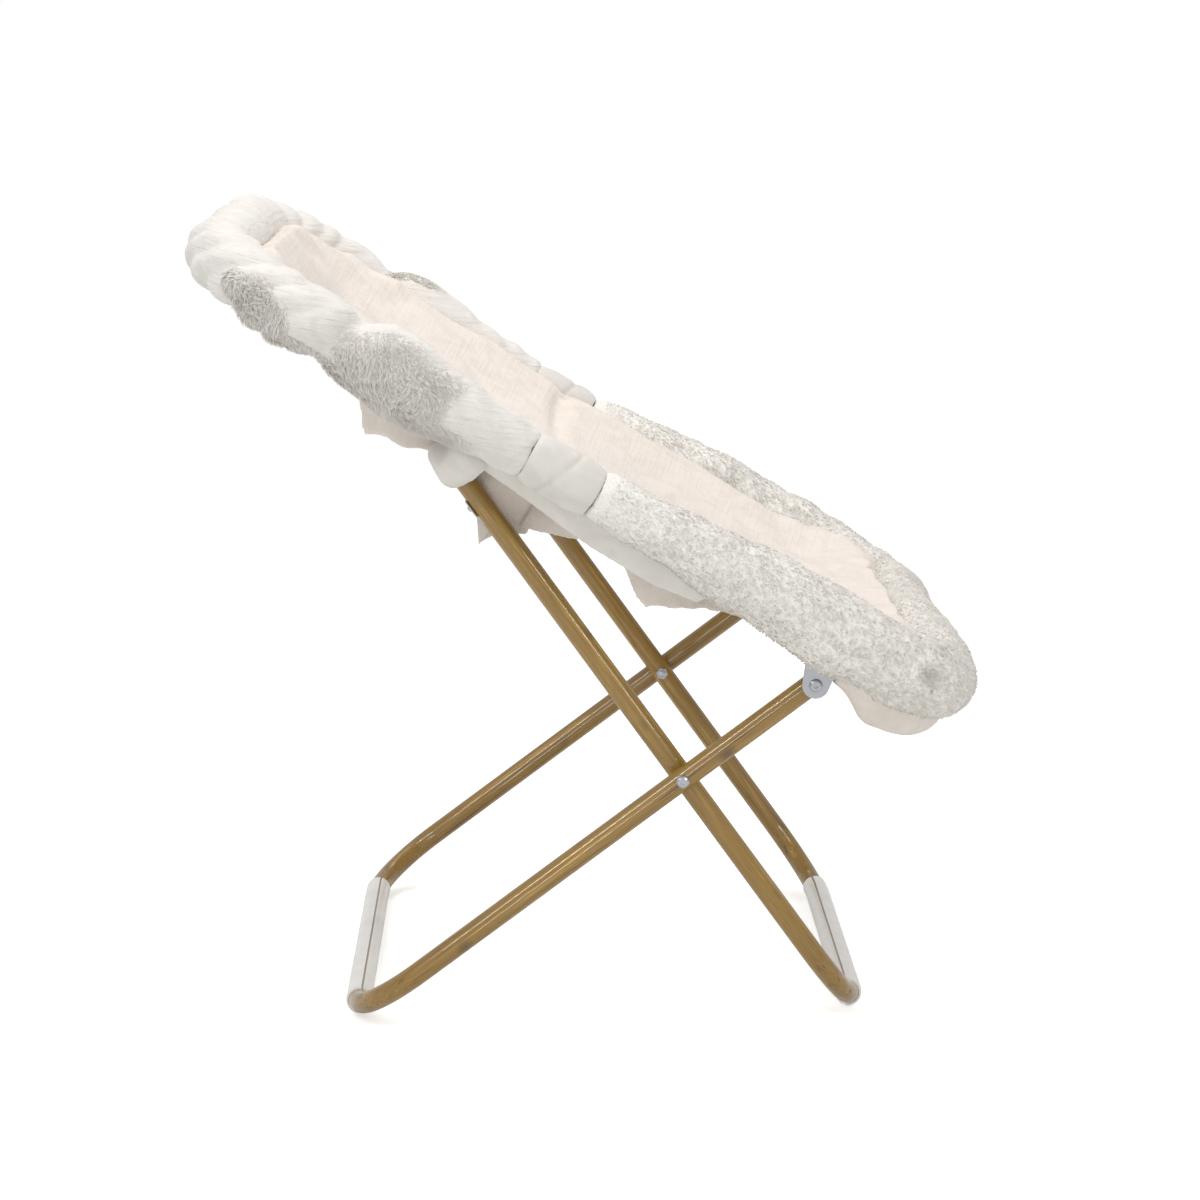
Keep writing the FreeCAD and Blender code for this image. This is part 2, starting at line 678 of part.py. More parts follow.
def saddle_sketch(body, label, reach):
    """The saddle's cross-section: an arc of plate from the rail's inner side round under it."""
    start = f"{reach} - Dims.bracket_aft"
    sketch = add_sketch(body, f"{label}_arc", "XY_Plane", {"x": RAIL_HALF, "z": start})
    radii = [f"({TUBE_R} + Dims.bracket_gap)", f"({TUBE_R} + Dims.bracket_gap + Dims.saddle_wall)"]
    first, last = math.pi, math.pi + math.radians(dim("saddle_wrap"))
    arcs = []
    for formula in radii:
        curve = Part.Circle(Vector(0, 0, 0), Z_AXIS, size(formula))
        arc = sketch.addGeometry(Part.ArcOfCircle(curve, first, last), False)
        sketch.addConstraint(Constraint("Coincident", arc, 3, -1, 1))
        bind(sketch, f"radius_{len(arcs)}", Constraint("Radius", arc, size(formula)), formula)
        arcs.append(arc)
    for end, angle in ((1, first), (2, last)):
        outward = Vector(math.cos(angle), math.sin(angle), 0)
        edge = Part.LineSegment(outward * size(radii[0]), outward * size(radii[1]))
        lip = sketch.addGeometry(edge, False)
        sketch.addConstraint(Constraint("Coincident", lip, 1, arcs[0], end))
        sketch.addConstraint(Constraint("Coincident", lip, 2, arcs[1], end))
        sketch.addConstraint(Constraint("PointOnObject", -1, 1, lip))
    sketch.addConstraint(Constraint("PointOnObject", arcs[0], 1, -1))
    bind(sketch, "wrap", Constraint("Angle", arcs[0], last - first), "Dims.saddle_wrap * 1deg")
    doc.recompute()
    return sketch


def hinge_leaf(label, outer_side, with_stop):
    """A side hinge leaf: a plug for the rail's end, a flat tongue and, on one leaf, a stop over both."""
    body = new_body(label)
    collar = "Dims.hinge_set_back - Dims.leaf_collar"
    plug = add_sketch(body, f"{label}_plug_ring", "XY_Plane", {"x": RAIL_HALF, "z": collar})
    add_circle(plug, "plug", PLUG_R)
    doc.recompute()
    pad = body.newObject("PartDesign::Pad", f"{label}_plug")
    pad.Profile = plug
    pad.setExpression("Length", "Dims.leaf_collar + Dims.leaf_plug")
    doc.recompute()
    near = f"({RAIL_HALF} + Dims.leaf_gap)"
    if not outer_side:
        near = f"({RAIL_HALF} - Dims.leaf_gap - Dims.leaf_thickness)"
    add_tongue(body, label, near)
    if with_stop:
        low = "(Dims.leaf_half_height / 2)"
        high = "(Dims.leaf_half_height + Dims.stop_gap + Dims.stop_height)"
        riser = [(low, "2"), (high, "2"), (high, "Dims.stop_reach"), (low, "Dims.stop_reach")]
        pad_outline(body, f"{label}_riser", riser, near, "Dims.leaf_thickness")
        under = "(Dims.leaf_half_height + Dims.stop_gap)"
        back = "(-Dims.stop_reach)"
        stop = [(under, back), (high, back), (high, "Dims.stop_reach"), (under, "Dims.stop_reach")]
        far = f"({RAIL_HALF} - Dims.leaf_gap - Dims.leaf_thickness)"
        pad_outline(body, f"{label}_stop", stop, far, "2 * (Dims.leaf_thickness + Dims.leaf_gap)")
    drill_across(body, f"{label}_hole", [("pivot", HOLE_R, None, None)])
    return body


def add_tongue(body, label, near):
    """Pad the flat tongue of a hinge leaf, round about the hinge axis."""
    sketch = add_sketch(body, f"{label}_tongue_outline", "YZ_Plane", {"z": near})
    h = dim("leaf_half_height")
    end = size("Dims.hinge_set_back + Dims.leaf_plug / 2")
    circle = Part.Circle(Vector(0, 0, 0), Z_AXIS, h)
    nose = sketch.addGeometry(Part.ArcOfCircle(circle, math.pi, 2 * math.pi), False)
    right = sketch.addGeometry(Part.LineSegment(Vector(h, 0, 0), Vector(h, end, 0)), False)
    back = sketch.addGeometry(Part.LineSegment(Vector(h, end, 0), Vector(-h, end, 0)), False)
    left = sketch.addGeometry(Part.LineSegment(Vector(-h, end, 0), Vector(-h, 0, 0)), False)
    sketch.addConstraint(
        [
            Constraint("Coincident", nose, 3, -1, 1),
            Constraint("Tangent", nose, 2, right, 1),
            Constraint("Coincident", right, 2, back, 1),
            Constraint("Coincident", back, 2, left, 1),
            Constraint("Tangent", left, 2, nose, 1),
            Constraint("Vertical", right),
            Constraint("Horizontal", back),
        ]
    )
    bind(sketch, "nose_r", Constraint("Radius", nose, h), "Dims.leaf_half_height")
    bind(sketch, "end_at", Constraint("DistanceY", -1, 1, back, 1, end), "Dims.hinge_set_back + Dims.leaf_plug / 2")
    doc.recompute()
    pad = body.newObject("PartDesign::Pad", f"{label}_tongue")
    pad.Profile = sketch
    pad.setExpression("Length", "Dims.leaf_thickness")
    doc.recompute()


def pad_outline(body, name, corners, near, thickness):
    """Pad a polygon given in (normal, along) formulas, outward from a distance across the chair."""
    sketch = add_sketch(body, f"{name}_outline", "YZ_Plane", {"z": near})
    add_polygon(sketch, "outline", corners)
    doc.recompute()
    pad = body.newObject("PartDesign::Pad", name)
    pad.Profile = sketch
    pad.setExpression("Length", thickness)
    doc.recompute()
    return body


def hinge_rivet(label):
    """The rivet of a side hinge: a shank through both tongues and a low head at each end."""
    body = new_body(label)
    shank = "(Dims.rivet_dia / 2)"
    head = "(Dims.rivet_head_dia / 2)"
    grip = "(Dims.leaf_gap + Dims.leaf_thickness + Dims.seat_gap)"
    crown = f"({grip} + Dims.rivet_head)"
    brow = f"({grip} + Dims.rivet_head * 0.4)"
    upper = [(shank, grip), (head, grip), (head, brow), (f"({head} * 0.6)", crown), (None, crown)]
    lower = [(across, f"(-{along})") for across, along in reversed(upper)]
    revolve(body, f"{label}_turned", lower + upper)
    return body


# Padded rim, hinge covers and seat cloth


def rail_route(half, length, bend, start):
    """The centre line of a seat rail as a wire in rail coordinates, begun at a distance from the hinge."""
    k = bend * (1 - math.sqrt(0.5))
    corner = length - bend
    left = Part.LineSegment(Vector(-half, 0, start), Vector(-half, 0, corner))
    first = Part.Arc(
        Vector(-half, 0, corner), Vector(-half + k, 0, length - k), Vector(-half + bend, 0, length)
    )
    bar = Part.LineSegment(Vector(-half + bend, 0, length), Vector(half - bend, 0, length))
    second = Part.Arc(Vector(half - bend, 0, length), Vector(half - k, 0, length - k), Vector(half, 0, corner))
    right = Part.LineSegment(Vector(half, 0, corner), Vector(half, 0, start))
    return Part.Wire([curve.toShape() for curve in (left, first, bar, second, right)])


def ring_of_arcs(centre, tangent, radius):
    """A circle in four arcs, square to a direction that lies in the rail plane."""
    side = tangent.cross(Y_AXIS).normalize()
    ways = [Y_AXIS, side, Y_AXIS * -1, side * -1]
    edges = []
    for way, following in zip(ways, ways[1:] + ways[:1]):
        middle = (way + following).normalize()
        arc = Part.Arc(centre + way * radius, centre + middle * radius, centre + following * radius)
        edges.append(arc.toShape())
    return Part.Wire(edges)


def rim_side(side_sign, half, corner, rim_radius, rise):
    """The padded rim along one side, swelling from the hinge to the start of the corner."""
    start = dim("rim_start")
    thin = dim("rim_radius_hinge")
    rings = []
    for part_way in (0.0, 0.33, 0.67, 1.0):
        along = start + (corner - start) * part_way
        swell = math.sin(part_way * math.pi / 2)
        centre = Vector(side_sign * half, rise * swell, along)
        rings.append(ring_of_arcs(centre, Z_AXIS, thin + (rim_radius - thin) * swell))
    return Part.makeLoft(rings, True, False)


def rim_front(half, length, bend, rim_radius, rise):
    """The padded rim round both corners and along the cross bar."""
    route = rail_route(half, length, bend, 0)
    bent = Part.Wire(route.Edges[1:-1])
    bent.translate(Vector(0, rise, 0))
    ring = ring_of_arcs(Vector(-half, rise, length - bend), Z_AXIS, rim_radius)
    return bent.makePipeShell([ring], True, False)


def rim_tools(half, reach, bore_wire):
    """Solids that clear the rim round the tube and round both ear brackets."""
    inset = dim("rim_start") / 2
    ring = Part.Wire(Part.Circle(Vector(-half, 0, inset), Z_AXIS, size(RIM_BORE_R)).toShape())
    tools = [bore_wire.makePipeShell([ring], True, False)]
    gap = dim("rim_bore_gap")
    begin = size(f"{reach} - Dims.bracket_aft") - gap
    run = dim("bracket_aft") + dim("bracket_fore") + 2 * gap
    cup = dim("tube_dia") / 2 + dim("bracket_gap") + dim("saddle_wall") + gap
    wide = dim("ear_thickness") + 2 * gap
    inner = size(EAR_INNER) - gap
    for side_sign in (-1, 1):
        near = inner if side_sign > 0 else -inner - wide
        slot = Part.makeBox(wide, dim("pivot_drop") + dim("plate_top") + gap, run + dim("ear_radius"))
        slot.translate(Vector(near, -dim("pivot_drop"), begin))
        tools.append(slot)
        tools.append(Part.makeCylinder(cup, run, Vector(side_sign * half, 0, begin), Z_AXIS))
    return tools


def rim_roll(label, length_name, bend_name, radius_name, rise_name, reach, place):
    """The padded rim around one seat rail, bored for the tube and cut clear of the ear brackets."""
    half, length, bend = size(RAIL_HALF), dim(length_name), dim(bend_name)
    radius, rise = dim(radius_name), dim(rise_name)
    parts = [rim_side(sign, half, length - bend, radius, rise) for sign in (-1, 1)]
    whole = rim_front(half, length, bend, radius, rise).fuse(parts).removeSplitter()
    route = rail_route(half, length, bend, dim("rim_start") / 2)
    roll = whole.cut(rim_tools(half, reach, route))
    feature = doc.addObject("Part::Feature", label)
    feature.Label = label
    feature.Shape = max(roll.Solids, key=lambda solid: solid.Volume)
    feature.Placement = place
    return feature


def hinge_cover(label):
    """The padded tube of cloth over one side hinge."""
    body = new_body(label)
    half_length = "(Dims.rim_start - Dims.cloth_gap)"
    inner = "(Dims.cover_bore / 2)"
    outer = "(Dims.cover_dia / 2)"
    brow = f"({outer} - 2)"
    corners = [
        (inner, f"(-{half_length})"),
        (brow, f"(-{half_length})"),
        (outer, f"(2 - {half_length})"),
        (outer, f"({half_length} - 2)"),
        (brow, half_length),
        (inner, half_length),
    ]
    revolve(body, f"{label}_turned", corners)
    return body


def seat_panel(label, length_name, bend_name, radius_name, sags, place):
    """Half of the padded seat: a loft of sagging sections, trimmed to fit inside the rim."""
    body = new_body(f"{label}_bowl")
    sections = []
    for number, (part_way, sag) in enumerate(sags):
        station = f"(Dims.seat_split + (Dims.{length_name} - Dims.seat_split) * {part_way})"
        depth = f"(Dims.seat_sag * {sag})"
        sections.append(bowl_section(body, f"{label}_section_{number}", station, depth))
    doc.recompute()
    loft = body.newObject("PartDesign::AdditiveLoft", f"{label}_loft")
    loft.Profile = sections[0]
    loft.Sections = sections[1:]
    doc.recompute()
    plan = panel_plan(f"{label}_plan", length_name, bend_name, radius_name)
    panel = doc.addObject("Part::Common", label)
    panel.Label = label
    panel.Base = body
    panel.Tool = plan
    panel.Placement = place
    return panel


def bowl_section(body, name, station, depth):
    """One cross-section of the seat: a sagging upper arc, the same arc below, and upright ends."""
    sketch = add_sketch(body, name, "XY_Plane", {"z": station})
    half = f"({RAIL_HALF} - Dims.rim_radius_hinge / 2)"
    w, sag = size(half), size(depth)
    heights = ["Dims.seat_edge_rise", "(Dims.seat_edge_rise - Dims.seat_thickness)"]
    arcs = []
    for number, height in enumerate(heights):
        rise = size(height)
        curve = Part.Arc(Vector(-w, rise, 0), Vector(0, rise - sag, 0), Vector(w, rise, 0))
        arc = sketch.addGeometry(curve, False)
        arcs.append(arc)
        radius = f"(({half} * {half} + {depth} * {depth}) / (2 * {depth}))"
        sketch.addConstraint(Constraint("Symmetric", arc, 1, arc, 2, -2))
        bind(sketch, f"curve_{number}", Constraint("Radius", arc, size(radius)), radius)
    left = sketch.addGeometry(Part.LineSegment(curve_point(-w, heights[1]), curve_point(-w, heights[0])), False)
    right = sketch.addGeometry(Part.LineSegment(curve_point(w, heights[1]), curve_point(w, heights[0])), False)
    for line, end in ((left, 1), (right, 2)):
        sketch.addConstraint(Constraint("Coincident", line, 1, arcs[1], end))
        sketch.addConstraint(Constraint("Coincident", line, 2, arcs[0], end))
    bind(sketch, "edge_half", Constraint("DistanceX", -1, 1, right, 2, w), half)
    bind(sketch, "lower_half", Constraint("DistanceX", -1, 1, right, 1, w), half)
    bind(sketch, "edge_top", Constraint("DistanceY", -1, 1, right, 2, size(heights[0])), heights[0])
    bind(sketch, "edge_low", Constraint("DistanceY", -1, 1, right, 1, size(heights[1])), heights[1])
    return sketch


def curve_point(across, height):
    """A sketch point at a distance across the chair and a height formula."""
    return Vector(across, size(height), 0)


def panel_plan(label, length_name, bend_name, radius_name):
    """The outline of half the seat seen square to the rails, padded through its whole depth."""
    body = new_body(label)
    sketch = add_sketch(body, f"{label}_outline", "XZ_Plane")
    edge = f"(Dims.{radius_name} + Dims.cloth_gap)"
    wide = f"({RAIL_HALF} - Dims.rim_radius_hinge - Dims.cloth_gap)"
    narrow = f"({RAIL_HALF} - {edge})"
    corner = f"(Dims.{length_name} - Dims.{bend_name})"
    round_r = f"(Dims.{bend_name} - {edge})"
    centre = f"({RAIL_HALF} - Dims.{bend_name})"
    outline = [
        (f"(-{wide})", "Dims.seat_split"),
        (wide, "Dims.seat_split"),
        (f"({wide} - ({wide} - {narrow}) * sin(30deg))", f"({corner} / 3)"),
        (f"({wide} - ({wide} - {narrow}) * sin(60deg))", f"({corner} * 2 / 3)"),
    ]
    for turn in (0, 22, 45, 67, 90):
        along_x = f"({centre} + {round_r} * cos({turn}deg))"
        outline.append((along_x, f"({corner} + {round_r} * sin({turn}deg))"))
    half_outline = outline[1:]
    mirror = [(f"(-{across})", along) for across, along in reversed(half_outline[1:])]
    add_polygon(sketch, "plan", outline + mirror)
    doc.recompute()
    pad = pad_both_ways(body, sketch, f"{label}_depth", "4 * Dims.seat_sag + 4 * Dims.seat_thickness")
    doc.recompute()
    return body


# Hanging hems, tabs and socks


def hanging_cloth(label, corners, across):
    """A thin hem hanging in an upright plane at a distance across the chair."""
    return pad_outline(new_body(label), f"{label}_cloth", corners, across, "Dims.hem_thickness")


def skirt(label, corners, panel, place):
    """A hem that hangs from the under face of half the seat."""
    cloth = hanging_cloth(f"{label}_flat", corners, "Dims.hem_half")
    return cut_away(label, cloth, [panel.Base], place)


def front_hem(place):
    """The hem that hangs below the front of the rim."""
    body = new_body("front_hem")
    near = "(Dims.front_length + Dims.front_hem_ahead)"
    sketch = add_sketch(body, "front_hem_outline", "XY_Plane", {"z": near})
    rim = "Dims.rim_radius_front"
    under = f"sqrt({rim} * {rim} - Dims.front_hem_ahead * Dims.front_hem_ahead)"
    top = f"(Dims.rim_rise_front - {under} - Dims.cloth_gap)"
    lower = [(across, f"({top} - {drop})") for across, drop in FRONT_HEM]
    ends = "(Dims.front_hem_half)"
    add_polygon(sketch, "hem", [(f"(-{ends})", top)] + lower + [(ends, top)])
    doc.recompute()
    pad = body.newObject("PartDesign::Pad", "front_hem_cloth")
    pad.Profile = sketch
    pad.setExpression("Length", "Dims.hem_thickness")
    doc.recompute()
    body.Placement = place
    return body


def tether_tab():
    """The corner of cloth screwed to the under face of an inner leg, drawn in leg coordinates."""
    body = new_body("tether_tab_left")
    screw = "(-Dims.strap_screw_reach)"
    face = f"(-{TUBE_R} - Dims.seat_gap)"
    low = f"({face} - Dims.tab_thickness)"
    inner = f"({FRONT_LEG_HALF} - {TUBE_R} - Dims.tab_thickness - Dims.seat_gap)"
    top = f"({screw} - Dims.tab_fore)"
    bottom = f"({screw} + Dims.tab_aft)"
    pad_outline(body, "strap", [(low, top), (face, top), (face, bottom), (low, bottom)], inner, f"{TUBE_R} + Dims.tab_lap")
    flap = [
        (low, top),
        (f"({face} + 6)", top),
        ("-3", f"({screw} + 31)"),
        ("-32", f"({screw} + 40)"),
        (low, bottom),
    ]
    pad_outline(body, "flap", flap, inner, "Dims.tab_thickness")
    hole = add_sketch(body, "screw_hole_sketch", "XZ_Plane")
    add_circle(hole, "hole", "(Dims.strap_screw_dia / 2 + Dims.bolt_clearance)", FRONT_LEG_HALF, screw)
    doc.recompute()
    pocket = body.newObject("PartDesign::Pocket", "screw_hole")
    pocket.Profile = hole
    pocket.Type = "ThroughAll"
    pocket.Midplane = True
    doc.recompute()
    return body


def strap_screw(label):
    """A small domed screw through the tab into the leg tube; its head seats at height 0."""
    body = new_body(label)
    shank = "(Dims.strap_screw_dia / 2)"
    head = "(Dims.strap_screw_head / 2)"
    depth = "(Dims.tab_thickness + Dims.seat_gap + Dims.tube_wall + 6)"
    corners = [
        (None, f"(-{depth})"),
        (shank, f"(-{depth})"),
        (shank, None),
        (head, None),
        (f"({head} * 0.8)", "1.6"),
        (f"({head} * 0.4)", "2.4"),
        (None, "2.4"),
    ]
    revolve(body, f"{label}_turned", corners)
    return body


def leg_sock():
    """The cloth cap over the top of an inner leg, drawn in leg coordinates."""
    body = new_body("leg_sock_left")
    inner = f"({TUBE_R} + Dims.sock_gap)"
    outer = f"({inner} + Dims.sock_wall)"
    top = "(-Dims.sock_length)"
    roof = "(-Dims.fitting_end - Dims.sock_gap)"
    mouth = "(-Dims.sock_start)"
    corners = [
        (None, top),
        (f"({outer} * 0.7)", top),
        (outer, f"({top} + 7)"),
        (outer, mouth),
        (inner, mouth),
        (inner, roof),
        (None, roof),
    ]
    revolve(body, "sock", corners)
    return body


# Assembly


def build_legs():
    """Both leg frames with their end fittings and floor sleeves."""
    rear, front = rear_leg_place(), front_leg_place()
    front_leg = leg_tube("front_leg_tube", FRONT_LEG_HALF, REAR_PIVOT_REACH, FRONT_LEG_LOWER, front)
    drill_strap_holes(front_leg)
    rear_slit = "(180 + Dims.rear_leg_slope + Dims.slit_lean)"
    front_slit = "(-Dims.front_leg_slope - Dims.slit_lean)"
    return [
        leg_tube("rear_leg_tube", REAR_LEG_HALF, "Dims.front_pivot_reach", REAR_LEG_LOWER, rear),
        front_leg,
        leg_fitting("rear_leg_end_fittings", REAR_LEG_HALF, "Dims.front_pivot_reach", rear),
        leg_fitting("front_leg_end_fittings", FRONT_LEG_HALF, REAR_PIVOT_REACH, front),
        floor_sleeve(
            "rear_floor_sleeve", REAR_LEG_HALF, REAR_LEG_LOWER, "Dims.rear_sleeve_wrap", rear_slit, rear
        ),
        floor_sleeve(
            "front_floor_sleeve", FRONT_LEG_HALF, FRONT_LEG_LOWER, "Dims.front_sleeve_wrap", front_slit, front
        ),
    ]


def drill_strap_holes(body):
    """Drill the under face of the inner leg frame for the strap screws."""
    sketch = add_sketch(body, "strap_hole_sketch", "XZ_Plane")
    reach = "(-Dims.strap_screw_reach)"
    radius = "(Dims.strap_screw_dia / 2 + Dims.bolt_clearance)"
    add_circle(sketch, "left", radius, FRONT_LEG_HALF, reach)
    add_circle(sketch, "right", radius, f"(-{FRONT_LEG_HALF})", reach)
    doc.recompute()
    before = body.Shape.Volume
    pocket = body.newObject("PartDesign::Pocket", "strap_holes")
    pocket.Profile = sketch
    pocket.Reversed = True
    pocket.setExpression("Length", "Dims.tube_dia")
    doc.recompute()
    if body.Shape.Volume >= before:
        raise RuntimeError("the strap holes cut nothing")


def build_leg_hardware():
    """Bolts, nuts and washers of the crossing and of the two pivots at the leg tops."""
    rear, front = rear_leg_place(), front_leg_place()
    outer_face = f"({REAR_LEG_HALF} + {TUBE_R} + Dims.seat_gap)"
    outer_inside = f"({REAR_LEG_HALF} - {TUBE_R} - Dims.seat_gap)"
    inner_face = f"({FRONT_LEG_HALF} + {TUBE_R} + Dims.seat_gap)"
    inner_inside = f"({FRONT_LEG_HALF} - {TUBE_R} - Dims.seat_gap)"
    washer = "(Dims.washer_dia / 2)"

    grip = f"({outer_face} - {inner_inside} + Dims.nut_height)"
    bolt = lay_across(button_bolt("crossing_bolt", grip), outer_face)
    spacing = "(Dims.leg_gap - 2 * Dims.seat_gap)"
    ring = lay_across(ring_washer("crossing_washer", washer, spacing), inner_face)
    nut = lay_across(cap_nut("crossing_nut"), inner_inside, outward=False)
    nodes = [
        mirrored_pair("crossing_bolts", bolt, rear),
        mirrored_pair("crossing_washers", ring, rear),
        mirrored_pair("crossing_nuts", nut, rear),
    ]

    up = "(-Dims.front_pivot_reach)"
    seat = f"({EAR_OUTER} + Dims.seat_gap)"
    grip = f"({seat} - {outer_inside} + Dims.nut_height)"
    bolt = lay_across(button_bolt("front_pivot_bolt", grip), seat, along=up)
    spacing = f"({EAR_INNER} - {outer_face} - Dims.seat_gap)"
    ring = lay_across(ring_washer("front_pivot_spacer", washer, spacing), outer_face, along=up)
    nut = lay_across(cap_nut("front_pivot_nut"), outer_inside, outward=False, along=up)
    nodes += [
        mirrored_pair("front_pivot_bolts", bolt, rear),
        mirrored_pair("front_pivot_spacers", ring, rear),
        mirrored_pair("front_pivot_nuts", nut, rear),
    ]

    up = f"(-{REAR_PIVOT_REACH})"
    spacing = f"({EAR_INNER} - Dims.open_pivot_gap - {inner_face})"
    grip = f"({inner_face} + {spacing} - {inner_inside})"
    bolt = lay_across(button_bolt("rear_pivot_bolt", grip), inner_inside, outward=False, along=up)
    ring = lay_across(ring_washer("rear_pivot_spacer", "(Dims.spacer_dia / 2)", spacing), inner_face, along=up)
    nodes += [
        mirrored_pair("rear_pivot_bolts", bolt, front),
        mirrored_pair("rear_pivot_spacers", ring, front),
    ]
    return nodes


def build_seat_frame():
    """Both seat rails with their ear brackets, side hinges and the cap nuts of the rear pivot."""
    front, rear = front_rail_place(), rear_rail_place()
    start = "Dims.hinge_set_back"
    rivet = lay_across(hinge_rivet("side_hinge_rivet"), RAIL_HALF)
    seat = f"({EAR_OUTER} + Dims.seat_gap)"
    nut = cap_nut("rear_pivot_nut")
    lay_across(nut, seat, normal="(-Dims.pivot_drop)", along=REAR_RAIL_REACH)
    nodes = [
        u_tube("seat_rail_front", RAIL_HALF, start, "Dims.front_length", "Dims.front_bend", front),
        u_tube("seat_rail_rear", RAIL_HALF, start, "Dims.rear_length", "Dims.rear_bend", rear),
        mirrored_pair("side_hinge_rivets", rivet, front),
        mirrored_pair("rear_pivot_nuts", nut, rear),
    ]
    nodes += with_twin(ear_bracket("front_bracket_left", "Dims.front_rail_reach"), "front_bracket_right", front)
    nodes += with_twin(ear_bracket("rear_bracket_right", REAR_RAIL_REACH), "rear_bracket_left", rear)
    nodes += with_twin(hinge_leaf("front_hinge_leaf_left", True, True), "front_hinge_leaf_right", front)
    nodes += with_twin(hinge_leaf("rear_hinge_leaf_right", False, False), "rear_hinge_leaf_left", rear)
    return nodes


def build_soft_parts():
    """The padded rim, seat cloth, hinge covers, hems, tether tabs and leg socks."""
    front, rear, leg = front_rail_place(), rear_rail_place(), front_leg_place()
    cover = hinge_cover("hinge_cover_left")
    cover.setExpression("Placement.Base.x", RAIL_HALF)
    cover_place = Placement(Vector(size(RAIL_HALF), front.Base.y, front.Base.z), front.Rotation)
    front_panel = seat_panel("seat_panel_front", "front_length", "front_bend", "rim_radius_front", FRONT_SAGS, front)
    rear_panel = seat_panel("seat_panel_rear", "rear_length", "rear_bend", "rim_radius_rear", REAR_SAGS, rear)
    nodes = [
        rim_roll(
            "rim_roll_front", "front_length", "front_bend", "rim_radius_front", "rim_rise_front",
            "Dims.front_rail_reach", front,
        ),
        rim_roll(
            "rim_roll_rear", "rear_length", "rear_bend", "rim_radius_rear", "rim_rise_rear",
            REAR_RAIL_REACH, rear,
        ),
        front_panel,
        rear_panel,
        front_hem(front),
    ]
    nodes += with_twin(cover, "hinge_cover_right", cover_place)
    nodes += with_twin(skirt("front_skirt_left", FRONT_SKIRT, front_panel, front), "front_skirt_right", front)
    nodes += with_twin(skirt("rear_skirt_right", REAR_SKIRT, rear_panel, rear), "rear_skirt_left", rear)
    band = "Dims.band_half"
    nodes += with_twin(hanging_cloth("front_side_hem_left", FRONT_BAND, band), "front_side_hem_right", front)
    nodes += with_twin(hanging_cloth("rear_side_hem_right", REAR_BAND, band), "rear_side_hem_left", rear)
    nodes += with_twin(tether_tab(), "tether_tab_right", leg)
    sock = leg_sock()
    top = leg.multVec(Vector(size(FRONT_LEG_HALF), 0, -size(REAR_PIVOT_REACH)))
    nodes += with_twin(sock, "leg_sock_right", Placement(top, leg.Rotation))
    screw = strap_screw("strap_screw")
    face = size(f"(-{TUBE_R} - Dims.seat_gap - Dims.tab_thickness)")
    seat = Vector(size(FRONT_LEG_HALF), face, -dim("strap_screw_reach"))
    screw.Placement = Placement(seat, Rotation(X_AXIS, 90))
    nodes.append(mirrored_pair("strap_screws", screw, leg))
    return nodes


def centre_chair(nodes):
    """Move every piece so that the middle of the whole box is over the origin; returns the shift."""
    doc.recompute()
    box = FreeCAD.BoundBox()
    for node in nodes:
        box.add(node.Shape.optimalBoundingBox(False, False))
    shift = Vector(0, -(box.YMin + box.YMax) / 2, 0)
    for node in nodes:
        if node.TypeId != "Part::Mirroring":
            node.Placement = Placement(node.Placement.Base + shift, node.Placement.Rotation)
    doc.recompute()
    return shift


def check(nodes):
    """Stop on any object in error and on any piece whose shape is missing or not valid."""
    for item in doc.Objects:
        if "Invalid" in item.State or "Error" in item.State:
            raise RuntimeError(f"{item.Name} did not recompute: {item.State}")
    for node in nodes:
        if node.Shape.isNull() or not node.Shape.isValid() or not node.Shape.Solids:
            raise RuntimeError(f"{node.Label} has no valid solid")


def main():
    """Build every piece, centre the chair, check it and write one STEP file per piece."""
    nodes = build_legs() + build_leg_hardware() + build_seat_frame() + build_soft_parts()
    shift = centre_chair(nodes)
    check(nodes)
    os.makedirs("parts", exist_ok=True)
    for node in nodes:
        node.Shape.exportStep(f"parts/{node.Label}.step")
    y, z = rail_point(0, 0)
    front_y, front_z = rail_point(-dim("front_rail_reach"), -dim("pivot_drop"))
    rear_y, rear_z = rail_point(size(REAR_RAIL_REACH), -dim("pivot_drop"))
    print(f"pieces {len(nodes)}")
    print(f"crossing y {shift.y:.3f} z {dim('cross_height'):.3f}")
    print(f"front pivot y {front_y + shift.y:.3f} z {front_z:.3f}")
    print(f"side hinge y {y + shift.y:.3f} z {z:.3f}")
    print(f"rear pivot y {rear_y + shift.y:.3f} z {rear_z:.3f}")


main()
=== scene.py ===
"""Looks of a folding saucer chair with a plush seat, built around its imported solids."""

import json
import logging
import math
from dataclasses import dataclass, field
from enum import Enum
from typing import Callable, Optional, Sequence

import bmesh
import bpy
import numpy as np
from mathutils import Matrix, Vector, noise

